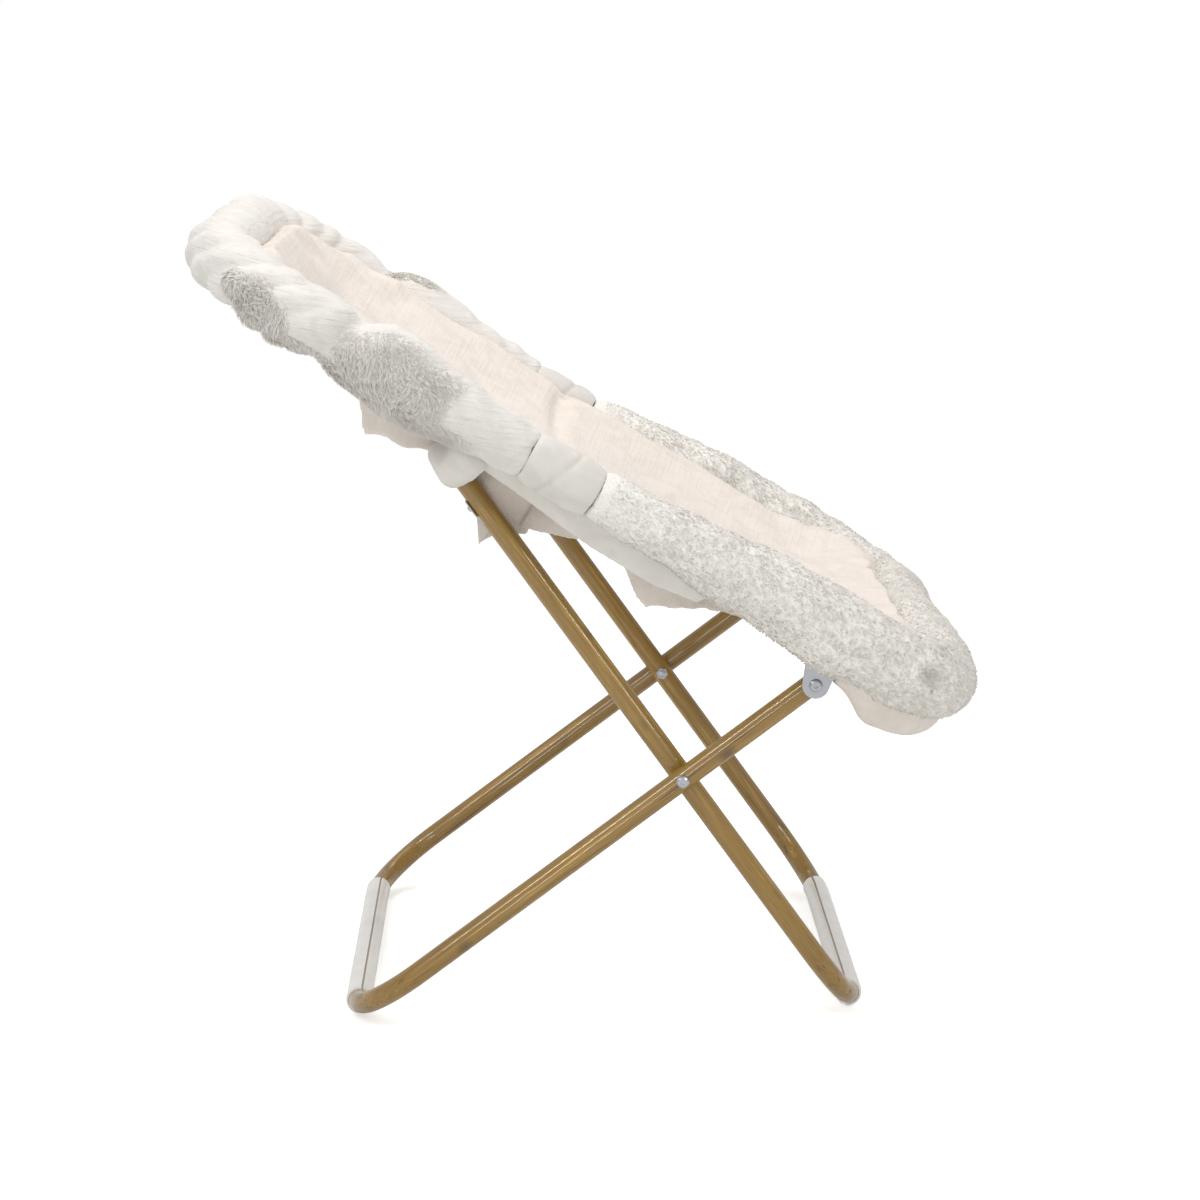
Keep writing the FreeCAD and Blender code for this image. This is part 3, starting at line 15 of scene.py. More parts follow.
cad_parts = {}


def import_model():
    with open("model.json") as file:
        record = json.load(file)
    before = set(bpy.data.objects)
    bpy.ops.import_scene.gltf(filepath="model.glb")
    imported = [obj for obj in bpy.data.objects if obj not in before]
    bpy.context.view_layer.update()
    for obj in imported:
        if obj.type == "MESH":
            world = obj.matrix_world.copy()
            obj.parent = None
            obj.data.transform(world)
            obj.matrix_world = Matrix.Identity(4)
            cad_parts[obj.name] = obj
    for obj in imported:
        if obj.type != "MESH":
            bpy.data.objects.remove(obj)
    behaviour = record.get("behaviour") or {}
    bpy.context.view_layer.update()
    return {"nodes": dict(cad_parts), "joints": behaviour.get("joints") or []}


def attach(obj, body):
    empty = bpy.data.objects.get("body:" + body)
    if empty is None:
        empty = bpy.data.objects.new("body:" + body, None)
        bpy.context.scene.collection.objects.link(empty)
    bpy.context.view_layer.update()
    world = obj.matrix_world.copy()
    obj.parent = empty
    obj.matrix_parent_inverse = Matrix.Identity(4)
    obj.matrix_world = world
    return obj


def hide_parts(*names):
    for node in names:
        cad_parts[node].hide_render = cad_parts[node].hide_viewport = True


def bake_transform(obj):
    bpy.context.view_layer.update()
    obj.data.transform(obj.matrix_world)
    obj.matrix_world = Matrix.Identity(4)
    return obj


logging.basicConfig(level=logging.INFO, format="%(message)s")
LOG = logging.getLogger("saucer_chair")

MM = 0.001
RAIL_TILT_DEG = 31.0
FILL_FRAMES = 20
END_ROLL_LENGTH = 0.014
SAME_POINT = 0.00002


class Body(Enum):
    """The bodies that pieces ride on."""

    REAR_FOOT = "rear_foot_frame"
    FRONT_FOOT = "front_foot_frame"
    SEAT_FRONT = "seat_front"
    SEAT_REAR = "seat_rear"


class Side(Enum):
    """Left and right as a person sitting in the chair sees them."""

    LEFT = 1
    RIGHT = -1

    @property
    def word(self) -> str:
        """The side's name as node names use it."""
        return self.name.lower()


def srgb(code: str) -> tuple[float, float, float, float]:
    """Turn an sRGB hex colour to linear.

    Args:
        code: the colour as #RRGGBB.

    Returns:
        Linear red, green, blue and an alpha of 1.
    """
    parts = [int(code[i : i + 2], 16) / 255 for i in (1, 3, 5)]
    linear = [c / 12.92 if c <= 0.04045 else ((c + 0.055) / 1.055) ** 2.4 for c in parts]
    return (linear[0], linear[1], linear[2], 1.0)


def add_node(tree: bpy.types.NodeTree, kind: str, settings: Optional[dict] = None, **links) -> bpy.types.Node:
    """Add one shader node.

    Args:
        tree: the material's node tree.
        kind: the node's type name.
        settings: attributes by name, and socket values by socket name or number.
        links: input sockets, spaces written as underscores, and the output socket that feeds each.

    Returns:
        The new node.
    """
    node = tree.nodes.new(kind)
    for name, value in (settings or {}).items():
        if isinstance(name, int) or name in node.inputs:
            node.inputs[name].default_value = value
        else:
            setattr(node, name, value)
    for name, source in links.items():
        key = int(name[1:]) if name[0] == "i" and name[1:].isdigit() else name.replace("_", " ")
        tree.links.new(source, node.inputs[key])
    return node


def new_material(name: str) -> tuple[bpy.types.Material, bpy.types.NodeTree, bpy.types.Node]:
    """Make an empty node material.

    Args:
        name: the material's name.

    Returns:
        The material, its tree and its surface shader.
    """
    material = bpy.data.materials.new(name)
    material.use_nodes = True
    tree = material.node_tree
    tree.nodes.clear()
    shader = add_node(tree, "ShaderNodeBsdfPrincipled")
    add_node(tree, "ShaderNodeOutputMaterial", None, Surface=shader.outputs[0])
    return material, tree, shader


def ramp(
    tree: bpy.types.NodeTree, source: bpy.types.NodeSocket, stops: Sequence[tuple[float, str]]
) -> bpy.types.NodeSocket:
    """Colour a value by stops.

    Args:
        tree: the material's node tree.
        source: the value.
        stops: positions from 0 to 1 and their hex colours.

    Returns:
        The colour output.
    """
    node = add_node(tree, "ShaderNodeValToRGB", None, Fac=source)
    elements = node.color_ramp.elements
    while len(elements) < len(stops):
        elements.new(0.5)
    for element, (position, code) in zip(elements, stops):
        element.position = position
        element.color = srgb(code)
    return node.outputs["Color"]


def turned_coordinates(
    tree: bpy.types.NodeTree, turn: tuple[float, float, float], scale: tuple[float, float, float]
) -> bpy.types.NodeSocket:
    """Object coordinates turned first and then stretched.

    Args:
        tree: the material's node tree.
        turn: rotation about X, Y and Z in radians.
        scale: scale along the turned axes.

    Returns:
        The vector output.
    """
    base = add_node(tree, "ShaderNodeTexCoord")
    rotated = add_node(tree, "ShaderNodeMapping", {"Rotation": turn}, Vector=base.outputs["Object"])
    stretched = add_node(tree, "ShaderNodeMapping", {"Scale": scale}, Vector=rotated.outputs[0])
    return stretched.outputs[0]


@dataclass(frozen=True)
class WoodLookTube:
    """Steel tube with a printed bamboo-look film under clear gloss lacquer: long grain, knots, sharp highlights."""

    name: str
    slope_deg: float
    bar_half: float
    light: str = "#B8923F"
    middle: str = "#8E6C20"
    dark: str = "#573D10"
    grain_mm: float = 1.7
    figure_mm: float = 9.0
    stretch: float = 34.0
    figure_share: float = 0.55
    bend_half: float = 0.02
    knots_per_metre: tuple[float, float, float] = (22, 22, 14)
    film_roughness: float = 0.32
    lacquer_roughness: float = 0.05

    def grain(self, tree: bpy.types.NodeTree, turn: float, along_x: bool, width_mm: float) -> bpy.types.NodeSocket:
        """Noise drawn out along the tube.

        Args:
            tree: the material's node tree.
            turn: angle about X that brings the tube's run onto Z.
            along_x: whether the run is the cross bar, which lies along X.
            width_mm: width of one figure across the tube.

        Returns:
            The noise value.
        """
        fine = 1 / (width_mm * MM)
        long = fine / self.stretch
        scale = (long, fine, fine) if along_x else (fine, fine, long)
        where = turned_coordinates(tree, (turn, 0, 0), scale)
        field_node = add_node(tree, "ShaderNodeTexNoise", {"Scale": 1.0, "Detail": 4.0, "Roughness": 0.6}, Vector=where)
        return field_node.outputs["Fac"]

    def make(self) -> bpy.types.Material:
        """Build the material.

        Returns:
            The finished material.
        """
        material, tree, shader = new_material(self.name)
        turn = math.radians(self.slope_deg)
        place = add_node(tree, "ShaderNodeTexCoord")
        split = add_node(tree, "ShaderNodeSeparateXYZ", None, Vector=place.outputs["Object"])
        across = add_node(tree, "ShaderNodeMath", {"operation": "ABSOLUTE"}, i0=split.outputs["X"])
        on_side = add_node(
            tree,
            "ShaderNodeMapRange",
            {"From Min": self.bar_half - self.bend_half, "From Max": self.bar_half + self.bend_half},
            Value=across.outputs[0],
        )
        layers = []
        for width in (self.grain_mm, self.figure_mm):
            bar = self.grain(tree, turn, True, width)
            leg = self.grain(tree, turn, False, width)
            mixed = add_node(tree, "ShaderNodeMix", None, Factor=on_side.outputs[0], A=bar, B=leg)
            layers.append(mixed.outputs[0])
        both = add_node(tree, "ShaderNodeMix", {"Factor": self.figure_share}, A=layers[0], B=layers[1])
        stops = [(0.34, self.dark), (0.46, self.middle), (0.54, self.middle), (0.64, self.light)]
        colour = ramp(tree, both.outputs[0], stops)
        # knots of the bamboo figure, which fade out within about 9 mm and stand some 45 mm apart
        spots = turned_coordinates(tree, (turn, 0, 0), self.knots_per_metre)
        knots = add_node(tree, "ShaderNodeTexVoronoi", {"Scale": 1.0, "Randomness": 1.0}, Vector=spots)
        near = add_node(
            tree, "ShaderNodeMapRange", {"From Min": 0.05, "From Max": 0.2, "To Min": 0.85, "To Max": 0.0},
            Value=knots.outputs["Distance"],
        )
        spotted = add_node(
            tree, "ShaderNodeMix", {"data_type": "RGBA", 7: srgb(self.dark)}, i0=near.outputs[0], i6=colour
        )
        tree.links.new(spotted.outputs[2], shader.inputs["Base Color"])
        shader.inputs["Roughness"].default_value = self.film_roughness
        shader.inputs["Coat Weight"].default_value = 1.0
        shader.inputs["Coat Roughness"].default_value = self.lacquer_roughness
        relief = add_node(tree, "ShaderNodeBump", {"Strength": 0.06, "Distance": 0.0004}, Height=layers[0])
        tree.links.new(relief.outputs[0], shader.inputs["Normal"])
        return material


@dataclass(frozen=True)
class ZincPlate:
    """Zinc-plated pressed steel: cool grey, faint rolling grain, softly bright."""

    name: str = "zinc_plated_steel"
    colour: str = "#B4B6BD"
    bright: str = "#C6C8CE"
    roughness: float = 0.3
    smoother: float = 0.08
    duller: float = 0.12
    grain_mm: float = 0.8

    def make(self) -> bpy.types.Material:
        """Build the material.

        Returns:
            The finished material.
        """
        material, tree, shader = new_material(self.name)
        where = turned_coordinates(tree, (0, 0, 0), (1 / (self.grain_mm * MM),) * 3)
        grain = add_node(tree, "ShaderNodeTexNoise", {"Scale": 1.0, "Detail": 3.0}, Vector=where)
        dull = add_node(
            tree,
            "ShaderNodeMapRange",
            {"To Min": self.roughness - self.smoother, "To Max": self.roughness + self.duller},
            Value=grain.outputs["Fac"],
        )
        tree.links.new(dull.outputs[0], shader.inputs["Roughness"])
        tint = ramp(tree, grain.outputs["Fac"], [(0.3, self.colour), (0.7, self.bright)])
        tree.links.new(tint, shader.inputs["Base Color"])
        shader.inputs["Metallic"].default_value = 1.0
        return material


@dataclass(frozen=True)
class MouldedPlastic:
    """Injection-moulded or extruded plastic: even colour with a faint spark-eroded grain."""

    name: str
    colour: str
    shade: str
    roughness: float = 0.45
    grain_mm: float = 0.7
    patch_mm: float = 40.0
    coat: float = 0.0
    ior: float = 1.49

    def make(self) -> bpy.types.Material:
        """Build the material.

        Returns:
            The finished material.
        """
        material, tree, shader = new_material(self.name)
        where = turned_coordinates(tree, (0, 0, 0), (1 / (self.grain_mm * MM),) * 3)
        grain = add_node(tree, "ShaderNodeTexNoise", {"Scale": 1.0, "Detail": 2.0}, Vector=where)
        wide = turned_coordinates(tree, (0, 0, 0), (1 / (self.patch_mm * MM),) * 3)
        patches = add_node(tree, "ShaderNodeTexNoise", {"Scale": 1.0, "Detail": 2.0}, Vector=wide)
        tint = ramp(tree, patches.outputs["Fac"], [(0.35, self.shade), (0.65, self.colour)])
        tree.links.new(tint, shader.inputs["Base Color"])
        relief = add_node(tree, "ShaderNodeBump", {"Strength": 0.08, "Distance": 0.0003}, Height=grain.outputs["Fac"])
        tree.links.new(relief.outputs[0], shader.inputs["Normal"])
        shader.inputs["Roughness"].default_value = self.roughness
        shader.inputs["IOR"].default_value = self.ior
        shader.inputs["Coat Weight"].default_value = self.coat
        return material


@dataclass(frozen=True)
class Plush:
    """Knitted polyester plush: matt, softly lit at its edges, with the pile's clumps and lay as relief."""

    name: str
    light: str
    shade: str
    pile_mm: float
    clump_mm: float
    relief: float
    rib_mm: float = 0.0
    rib_relief: float = 0.0
    sheen: float = 0.35
    slant: float = 0.0
    see_through: float = 0.0
    pile_draw: float = 0.6
    clump_draw: float = 0.7
    relief_depth: float = 0.004
    rib_depth: float = 0.003

    def make(self) -> bpy.types.Material:
        """Build the material.

        Returns:
            The finished material.
        """
        material, tree, shader = new_material(self.name)
        tilt = math.radians(RAIL_TILT_DEG)
        fine = 1 / (self.pile_mm * MM)
        pile_at = turned_coordinates(tree, (-tilt, 0, 0), (fine, fine * self.pile_draw, fine))
        pile = add_node(
            tree,
            "ShaderNodeTexNoise",
            {"Scale": 1.0, "Detail": 5.0, "Roughness": 0.65, "Distortion": 0.4},
            Vector=pile_at,
        )
        coarse = 1 / (self.clump_mm * MM)
        clump_at = turned_coordinates(tree, (-tilt, 0, 0), (coarse, coarse * self.clump_draw, coarse))
        clump = add_node(
            tree, "ShaderNodeTexNoise", {"Scale": 1.0, "Detail": 3.0, "Distortion": 1.2}, Vector=clump_at
        )
        tone = add_node(tree, "ShaderNodeMix", {"Factor": 0.45}, A=clump.outputs["Fac"], B=pile.outputs["Fac"])
        colour = ramp(tree, tone.outputs[0], [(0.34, self.shade), (0.56, self.light)])
        tree.links.new(colour, shader.inputs["Base Color"])
        height = add_node(tree, "ShaderNodeMix", {"Factor": 0.5}, A=clump.outputs["Fac"], B=pile.outputs["Fac"])
        relief = add_node(
            tree, "ShaderNodeBump", {"Strength": self.relief, "Distance": self.relief_depth}, Height=height.outputs[0]
        )
        normal = relief.outputs[0]
        if self.rib_mm:
            # shallow quilting lines that run across the seat and wander a little
            rib = 1 / (self.rib_mm * MM)
            run = (rib * 0.05, rib * 0.12, rib) if self.slant else (rib * 0.05, rib, rib * 0.1)
            rib_at = turned_coordinates(tree, (self.slant - tilt, 0, 0), run)
            lines = add_node(
                tree, "ShaderNodeTexNoise", {"Scale": 1.0, "Detail": 2.0, "Distortion": 0.3}, Vector=rib_at
            )
            ribs = add_node(
                tree, "ShaderNodeBump", {"Strength": self.rib_relief, "Distance": self.rib_depth},
                Height=lines.outputs["Fac"], Normal=normal,
            )
            normal = ribs.outputs[0]
        tree.links.new(normal, shader.inputs["Normal"])
        shader.inputs["Roughness"].default_value = 0.95
        shader.inputs["Specular IOR Level"].default_value = 0.15
        shader.inputs["Sheen Weight"].default_value = self.sheen
        shader.inputs["Sheen Roughness"].default_value = 0.6
        if self.see_through:
            # single fibres let light through to their shaded side
            thin = add_node(tree, "ShaderNodeBsdfTranslucent", None, Color=colour)
            both = add_node(
                tree, "ShaderNodeMixShader", {"Fac": self.see_through}, i1=shader.outputs[0], i2=thin.outputs[0]
            )
            out = next(node for node in tree.nodes if node.type == "OUTPUT_MATERIAL")
            tree.links.new(both.outputs[0], out.inputs["Surface"])
        return material


@dataclass(frozen=True)
class RailPlane:
    """The plane of the seat rails, with its origin on the side hinges' axis."""

    hinge_y: float
    hinge_z: float
    tilt: float = math.radians(RAIL_TILT_DEG)

    def point(self, x: float, along: float, height: float) -> Vector:
        """A world point from a distance across, behind the hinge and above the rails.

        Args:
            x: distance across the chair.
            along: distance behind the hinge.
            height: distance above the rail plane.

        Returns:
            The world point.
        """
        y = self.hinge_y + along * math.cos(self.tilt) - height * math.sin(self.tilt)
        z = self.hinge_z + along * math.sin(self.tilt) + height * math.cos(self.tilt)
        return Vector((x, y, z))

    def split(self, places: np.ndarray) -> tuple[np.ndarray, np.ndarray, np.ndarray]:
        """World points as across, along and height.

        Args:
            places: an array of points, one to a row.

        Returns:
            Three arrays: across, along and height.
        """
        y = places[:, 1] - self.hinge_y
        z = places[:, 2] - self.hinge_z
        along = y * math.cos(self.tilt) + z * math.sin(self.tilt)
        height = -y * math.sin(self.tilt) + z * math.cos(self.tilt)
        return places[:, 0], along, height

    @property
    def normal(self) -> Vector:
        """The direction up out of the seat."""
        return Vector((0, -math.sin(self.tilt), math.cos(self.tilt)))

    @property
    def rearward(self) -> Vector:
        """The direction along the rails to the rear."""
        return Vector((0, math.cos(self.tilt), math.sin(self.tilt)))


def read_points(obj: bpy.types.Object) -> np.ndarray:
    """An object's vertex places.

    Args:
        obj: a mesh object at the origin.

    Returns:
        An array of points, one to a row.
    """
    places = np.empty(len(obj.data.vertices) * 3)
    obj.data.vertices.foreach_get("co", places)
    return places.reshape(-1, 3)


def read_normals(obj: bpy.types.Object) -> np.ndarray:
    """An object's vertex normals.

    Args:
        obj: a mesh object.

    Returns:
        An array of unit vectors, one to a row.
    """
    normals = np.empty(len(obj.data.vertices) * 3)
    obj.data.vertices.foreach_get("normal", normals)
    return normals.reshape(-1, 3)


def write_points(obj: bpy.types.Object, places: np.ndarray) -> None:
    """Move an object's vertices to new places."""
    obj.data.vertices.foreach_set("co", places.astype(np.float32).ravel())
    obj.data.update()


def make_active(obj: bpy.types.Object) -> None:
    """Select one object alone."""
    bpy.ops.object.select_all(action="DESELECT")
    obj.select_set(True)
    bpy.context.view_layer.objects.active = obj


def apply_modifier(obj: bpy.types.Object, kind: str, **settings) -> None:
    """Add a modifier and apply it.

    Args:
        obj: the object.
        kind: the modifier's type.
        settings: its attributes.
    """
    make_active(obj)
    modifier = obj.modifiers.new(kind.lower(), kind)
    for name, value in settings.items():
        setattr(modifier, name, value)
    bpy.ops.object.modifier_apply(modifier=modifier.name)


def copy_nodes(name: str, nodes: Sequence[bpy.types.Object]) -> bpy.types.Object:
    """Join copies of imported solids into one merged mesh.

    Args:
        name: the new object's name.
        nodes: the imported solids.

    Returns:
        The new object, at the origin.
    """
    shape = bmesh.new()
    for node in nodes:
        mesh = node.data.copy()
        mesh.transform(node.matrix_world)
        shape.from_mesh(mesh)
        bpy.data.meshes.remove(mesh)
    bmesh.ops.remove_doubles(shape, verts=shape.verts, dist=SAME_POINT)
    mesh = bpy.data.meshes.new(name)
    shape.to_mesh(mesh)
    shape.free()
    obj = bpy.data.objects.new(name, mesh)
    bpy.context.scene.collection.objects.link(obj)
    return obj


def inflate(obj: bpy.types.Object, voxel: float, pressure: float, cap: float) -> None:
    """Remesh a padded piece and swell it as cloth under pressure.

    Args:
        obj: the piece.
        voxel: remesh size in metres.
        pressure: how hard it is filled.
        cap: the furthest that any point may move.
    """
    apply_modifier(obj, "REMESH", mode="VOXEL", voxel_size=voxel, use_smooth_shade=True)
    before = read_points(obj)
    cloth = obj.modifiers.new("filling", "CLOTH")
    cloth.settings.quality = 4
    cloth.settings.use_pressure = True
    cloth.settings.uniform_pressure_force = pressure
    cloth.settings.tension_stiffness = 12
    cloth.settings.compression_stiffness = 4
    cloth.settings.bending_stiffness = 0.3
    cloth.settings.effector_weights.gravity = 0
    cloth.point_cache.frame_start = 1
    cloth.point_cache.frame_end = FILL_FRAMES
    scene = bpy.context.scene
    for frame_number in range(1, FILL_FRAMES + 1):
        scene.frame_set(frame_number)
    graph = bpy.context.evaluated_depsgraph_get()
    swollen = obj.evaluated_get(graph)
    after = np.empty(len(swollen.data.vertices) * 3)
    swollen.data.vertices.foreach_get("co", after)
    after = after.reshape(-1, 3)
    obj.modifiers.remove(cloth)
    scene.frame_set(1)
    move = after - before
    far = np.linalg.norm(move, axis=1, keepdims=True)
    move *= np.minimum(1, cap / np.maximum(far, 1e-9))
    write_points(obj, before + move)


def cloud(places: np.ndarray, scale: float, octaves: int = 3, offset: float = 0.0) -> np.ndarray:
    """Fractal noise at points.

    Args:
        places: an array of points, one to a row.
        scale: how many figures to a metre.
        octaves: layers of detail.
        offset: a shift that gives another figure.

    Returns:
        One value about -1 to 1 for each point.
    """
    shift = Vector((offset, offset * 0.7, offset * 1.3))
    return np.array([noise.fractal(Vector(p) * scale + shift, 1.0, 2.0, octaves) for p in places])


def smooth_step(values: np.ndarray, low: float, high: float) -> np.ndarray:
    """Ease from 0 at low to 1 at high.

    Args:
        values: the values.
        low: where the step starts.
        high: where it ends.

    Returns:
        Values from 0 to 1.
    """
    t = np.clip((values - low) / (high - low), 0, 1)
    return t * t * (3 - 2 * t)


def unit_rows(vectors: np.ndarray) -> np.ndarray:
    """Scale every row to a length of one."""
    return vectors / np.maximum(np.linalg.norm(vectors, axis=1, keepdims=True), 1e-9)


def end_roll(past: np.ndarray, way: int) -> np.ndarray:
    """How far a roll's end is drawn in, from its cut face at 0 to nothing a short way on.

    Args:
        past: distance from the cut face.
        way: 1 where the roll lies at greater distances, -1 where it lies at smaller ones.

    Returns:
        Values from 1 at the cut face to 0.
    """
    return (1 - np.clip(past * way / END_ROLL_LENGTH, 0, 1)) ** 2


def push_out(obj: bpy.types.Object, places: np.ndarray, normals: np.ndarray, move: np.ndarray) -> None:
    """Move an object's vertices along their normals.

    Args:
        obj: the object.
        places: where its vertices are.
        normals: which way each one faces.
        move: how far each one goes.
    """
    write_points(obj, places + normals * move[:, None])


@dataclass(frozen=True)
class Unevenness:
    """A sewn surface's unevenness: figures to a metre, layers of detail, shift to another figure, and depth."""

    per_metre: float
    layers: int
    shift: float
    depth: float

    def at(self, places: np.ndarray) -> np.ndarray:
        """The unevenness at points, one value to a row."""
        return cloud(places, self.per_metre, self.layers, self.shift) * self.depth


@dataclass(frozen=True)
class Ridge:
    """A soft ridge or tuck: where its middle lies, how wide it is and how far it moves the cloth."""

    middle: float
    width: float
    depth: float

    def at(self, values: np.ndarray) -> np.ndarray:
        """How far the cloth moves at each distance."""
        return np.exp(-((values - self.middle) ** 2) / self.width**2) * self.depth


def shade_smooth(obj: bpy.types.Object) -> None:
    """Shade every face smooth."""
    obj.data.polygons.foreach_set("use_smooth", [True] * len(obj.data.polygons))
    obj.data.update()


def dress(obj: bpy.types.Object, material: bpy.types.Material) -> None:
    """Give an object one material in every slot."""
    if not obj.data.materials:
        obj.data.materials.append(material)
    for slot in obj.material_slots:
        slot.material = material


@dataclass(frozen=True)
class PileTuft:
    """One lock of pile: a flat blade of one strip that ends in a point."""

    length: float
    width: float


@dataclass
class PileField:
    """Locks of pile rooted all over part of a padded surface, in one mesh."""

    name: str
    tuft: PileTuft
    count: int
    lay: Vector
    lift: float
    seed: int
    mask: Callable[[np.ndarray], np.ndarray]
    swirls_per_metre: float = 24
    swirl: float = 1.2
    stray: float = 0.3
    shading_spread: float = 0.16

    def roots(self, base: bpy.types.Object) -> tuple[np.ndarray, np.ndarray, np.ndarray]:
        """Choose where the locks stand.

        Args:
            base: the padded surface.

        Returns:
            Root points, surface normals and the share of full length at each.
        """
        base.data.calc_loop_triangles()
        triangles = base.data.loop_triangles
        corners = np.empty(len(triangles) * 3, dtype=np.int64)
        triangles.foreach_get("vertices", corners)
        corners = corners.reshape(-1, 3)
        places = read_points(base)
        normals = read_normals(base)
        a, b, c = (places[corners[:, i]] for i in range(3))
        facing = normals[corners].mean(axis=1)
        share = self.mask((a + b + c) / 3)
        area = np.linalg.norm(np.cross(b - a, c - a), axis=1) * (share > 0.02)
        rng = np.random.default_rng(self.seed)
        picked = rng.choice(len(corners), size=self.count, p=area / area.sum())
        u, v = rng.random(self.count), rng.random(self.count)
        flip = u + v > 1
        u[flip], v[flip] = 1 - u[flip], 1 - v[flip]
        points = a[picked] + (b - a)[picked] * u[:, None] + (c - a)[picked] * v[:, None]
        return points, unit_rows(facing[picked]), share[picked]

    def build(self, base: bpy.types.Object) -> bpy.types.Object:
        """Make the mesh of all locks, shaded with the surface that they stand on.

        Args:
            base: the padded surface.

        Returns:
            The new object.
        """
        points, normals, share = self.roots(base)
        count = len(points)
        rng = np.random.default_rng(self.seed + 1)
        swirls = np.stack([cloud(points, self.swirls_per_metre, 2, shift) for shift in (0.0, 31.0, 57.0)], axis=1)
        lay = np.array(self.lay)[None, :] + swirls * self.swirl + rng.normal(0, self.stray, (count, 3))
        lay -= normals * np.sum(lay * normals, axis=1, keepdims=True)
        lay = unit_rows(lay)
        side = np.cross(normals, lay)
        length = (self.tuft.length * share * rng.uniform(0.6, 1.15, count))[:, None]
        half = (self.tuft.width * rng.uniform(0.35, 0.6, count))[:, None]
        middle = points + lay * length * 0.5 + normals * length * self.lift * 0.75
        tip = points + lay * length * 0.95 + normals * length * self.lift
        rows = [points - side * half, points + side * half, middle - side * half * 0.7, middle + side * half * 0.7, tip]
        index = np.arange(count)
        quads = np.stack([index, index + 2 * count, index + 3 * count, index + count], 1)
        ends = np.stack([index + 2 * count, index + 4 * count, index + 3 * count], 1)
        mesh = bpy.data.meshes.new(self.name)
        mesh.from_pydata(np.concatenate(rows).tolist(), [], quads.tolist() + ends.tolist())
        mesh.polygons.foreach_set("use_smooth", [True] * len(mesh.polygons))
        tilted = unit_rows(normals + rng.normal(0, self.shading_spread, (count, 3)))
        mesh.normals_split_custom_set_from_vertices(np.tile(tilted, (5, 1)).tolist())
        obj = bpy.data.objects.new(self.name, mesh)
        bpy.context.scene.collection.objects.link(obj)
        return obj


@dataclass
class Finishes:
    """Every material of the chair."""

    rear_leg: bpy.types.Material = field(init=False)
    front_leg: bpy.types.Material = field(init=False)
    rail: bpy.types.Material = field(init=False)
    zinc: bpy.types.Material = field(init=False)
    black: bpy.types.Material = field(init=False)
    sleeve: bpy.types.Material = field(init=False)
    long_pile: bpy.types.Material = field(init=False)
    lock: bpy.types.Material = field(init=False)
    velour: bpy.types.Material = field(init=False)
    rim_velour_painted_shade: bpy.types.Material = field(init=False)
    suede: bpy.types.Material = field(init=False)

    def __post_init__(self) -> None:
        """Make the materials."""
        self.rear_leg = WoodLookTube("bamboo_look_tube_rear", 90 + 36.82, 0.29).make()
        self.front_leg = WoodLookTube("bamboo_look_tube_front", -90 - 54.18, 0.27).make()
        self.rail = WoodLookTube("bamboo_look_rail", -90 - RAIL_TILT_DEG, 0.26).make()
        self.zinc = ZincPlate().make()
        self.black = MouldedPlastic("moulded_black_nylon", "#232221", "#171615", 0.4).make()
        self.sleeve = MouldedPlastic("extruded_white_vinyl", "#F7F6F3", "#F0EEEA", 0.35, coat=0.2).make()
        self.long_pile = Plush("long_pile_plush", "#F3F1EC", "#E7E4DD", 2.2, 9.0, 0.7).make()
        self.lock = Plush("plush_pile_locks", "#F6F4F0", "#EEEBE5", 1.6, 14.0, 0.0, sheen=0.4, see_through=0.45).make()
        self.velour = Plush("short_pile_velour", "#E9E1D9", "#DED4CA", 1.6, 30.0, 0.45, 4.4, 0.4).make()
        # the rear rim's velour is the pad's cover cloth, painted greyer and darker than the pad's velour as painted
        # shade
        self.rim_velour_painted_shade = Plush("quilted_velour", "#E3E0DB", "#D6D2CC", 1.4, 26.0, 0.3, 4.0, 0.8, slant=0.35).make()
        self.suede = Plush("brushed_suede_cloth", "#DAD7D1", "#CFCBC4", 0.9, 30.0, 0.12).make()
        LOG.info("materials made")


@dataclass
class Metalwork:
    """The tubes, pivots, brackets and sleeves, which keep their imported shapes."""

    finishes: Finishes
    nodes: dict

    def dress_all(self) -> None:
        """Give every rigid node its finish."""
        table = [
            (self.finishes.rear_leg, ["rear_leg_tube"]),
            (self.finishes.front_leg, ["front_leg_tube"]),
            (self.finishes.rail, ["seat_rail_front", "seat_rail_rear"]),
            (self.finishes.sleeve, ["rear_floor_sleeve", "front_floor_sleeve"]),
            (self.finishes.black, ["rear_leg_end_fittings", "front_leg_end_fittings"]),
            (self.finishes.black, ["front_pivot_spacers", "rear_pivot_spacers"]),
        ]
        done = set()
        for material, names in table:
            for name in names:
                dress(self.nodes[name], material)
                done.add(name)
        metal = ("bolts", "nuts", "washers", "rivets", "screws", "bracket", "leaf")
        for name, node in self.nodes.items():
            if name not in done and any(word in name for word in metal):
                dress(node, self.finishes.zinc)
                LOG.info("%s dressed in zinc plate", name)


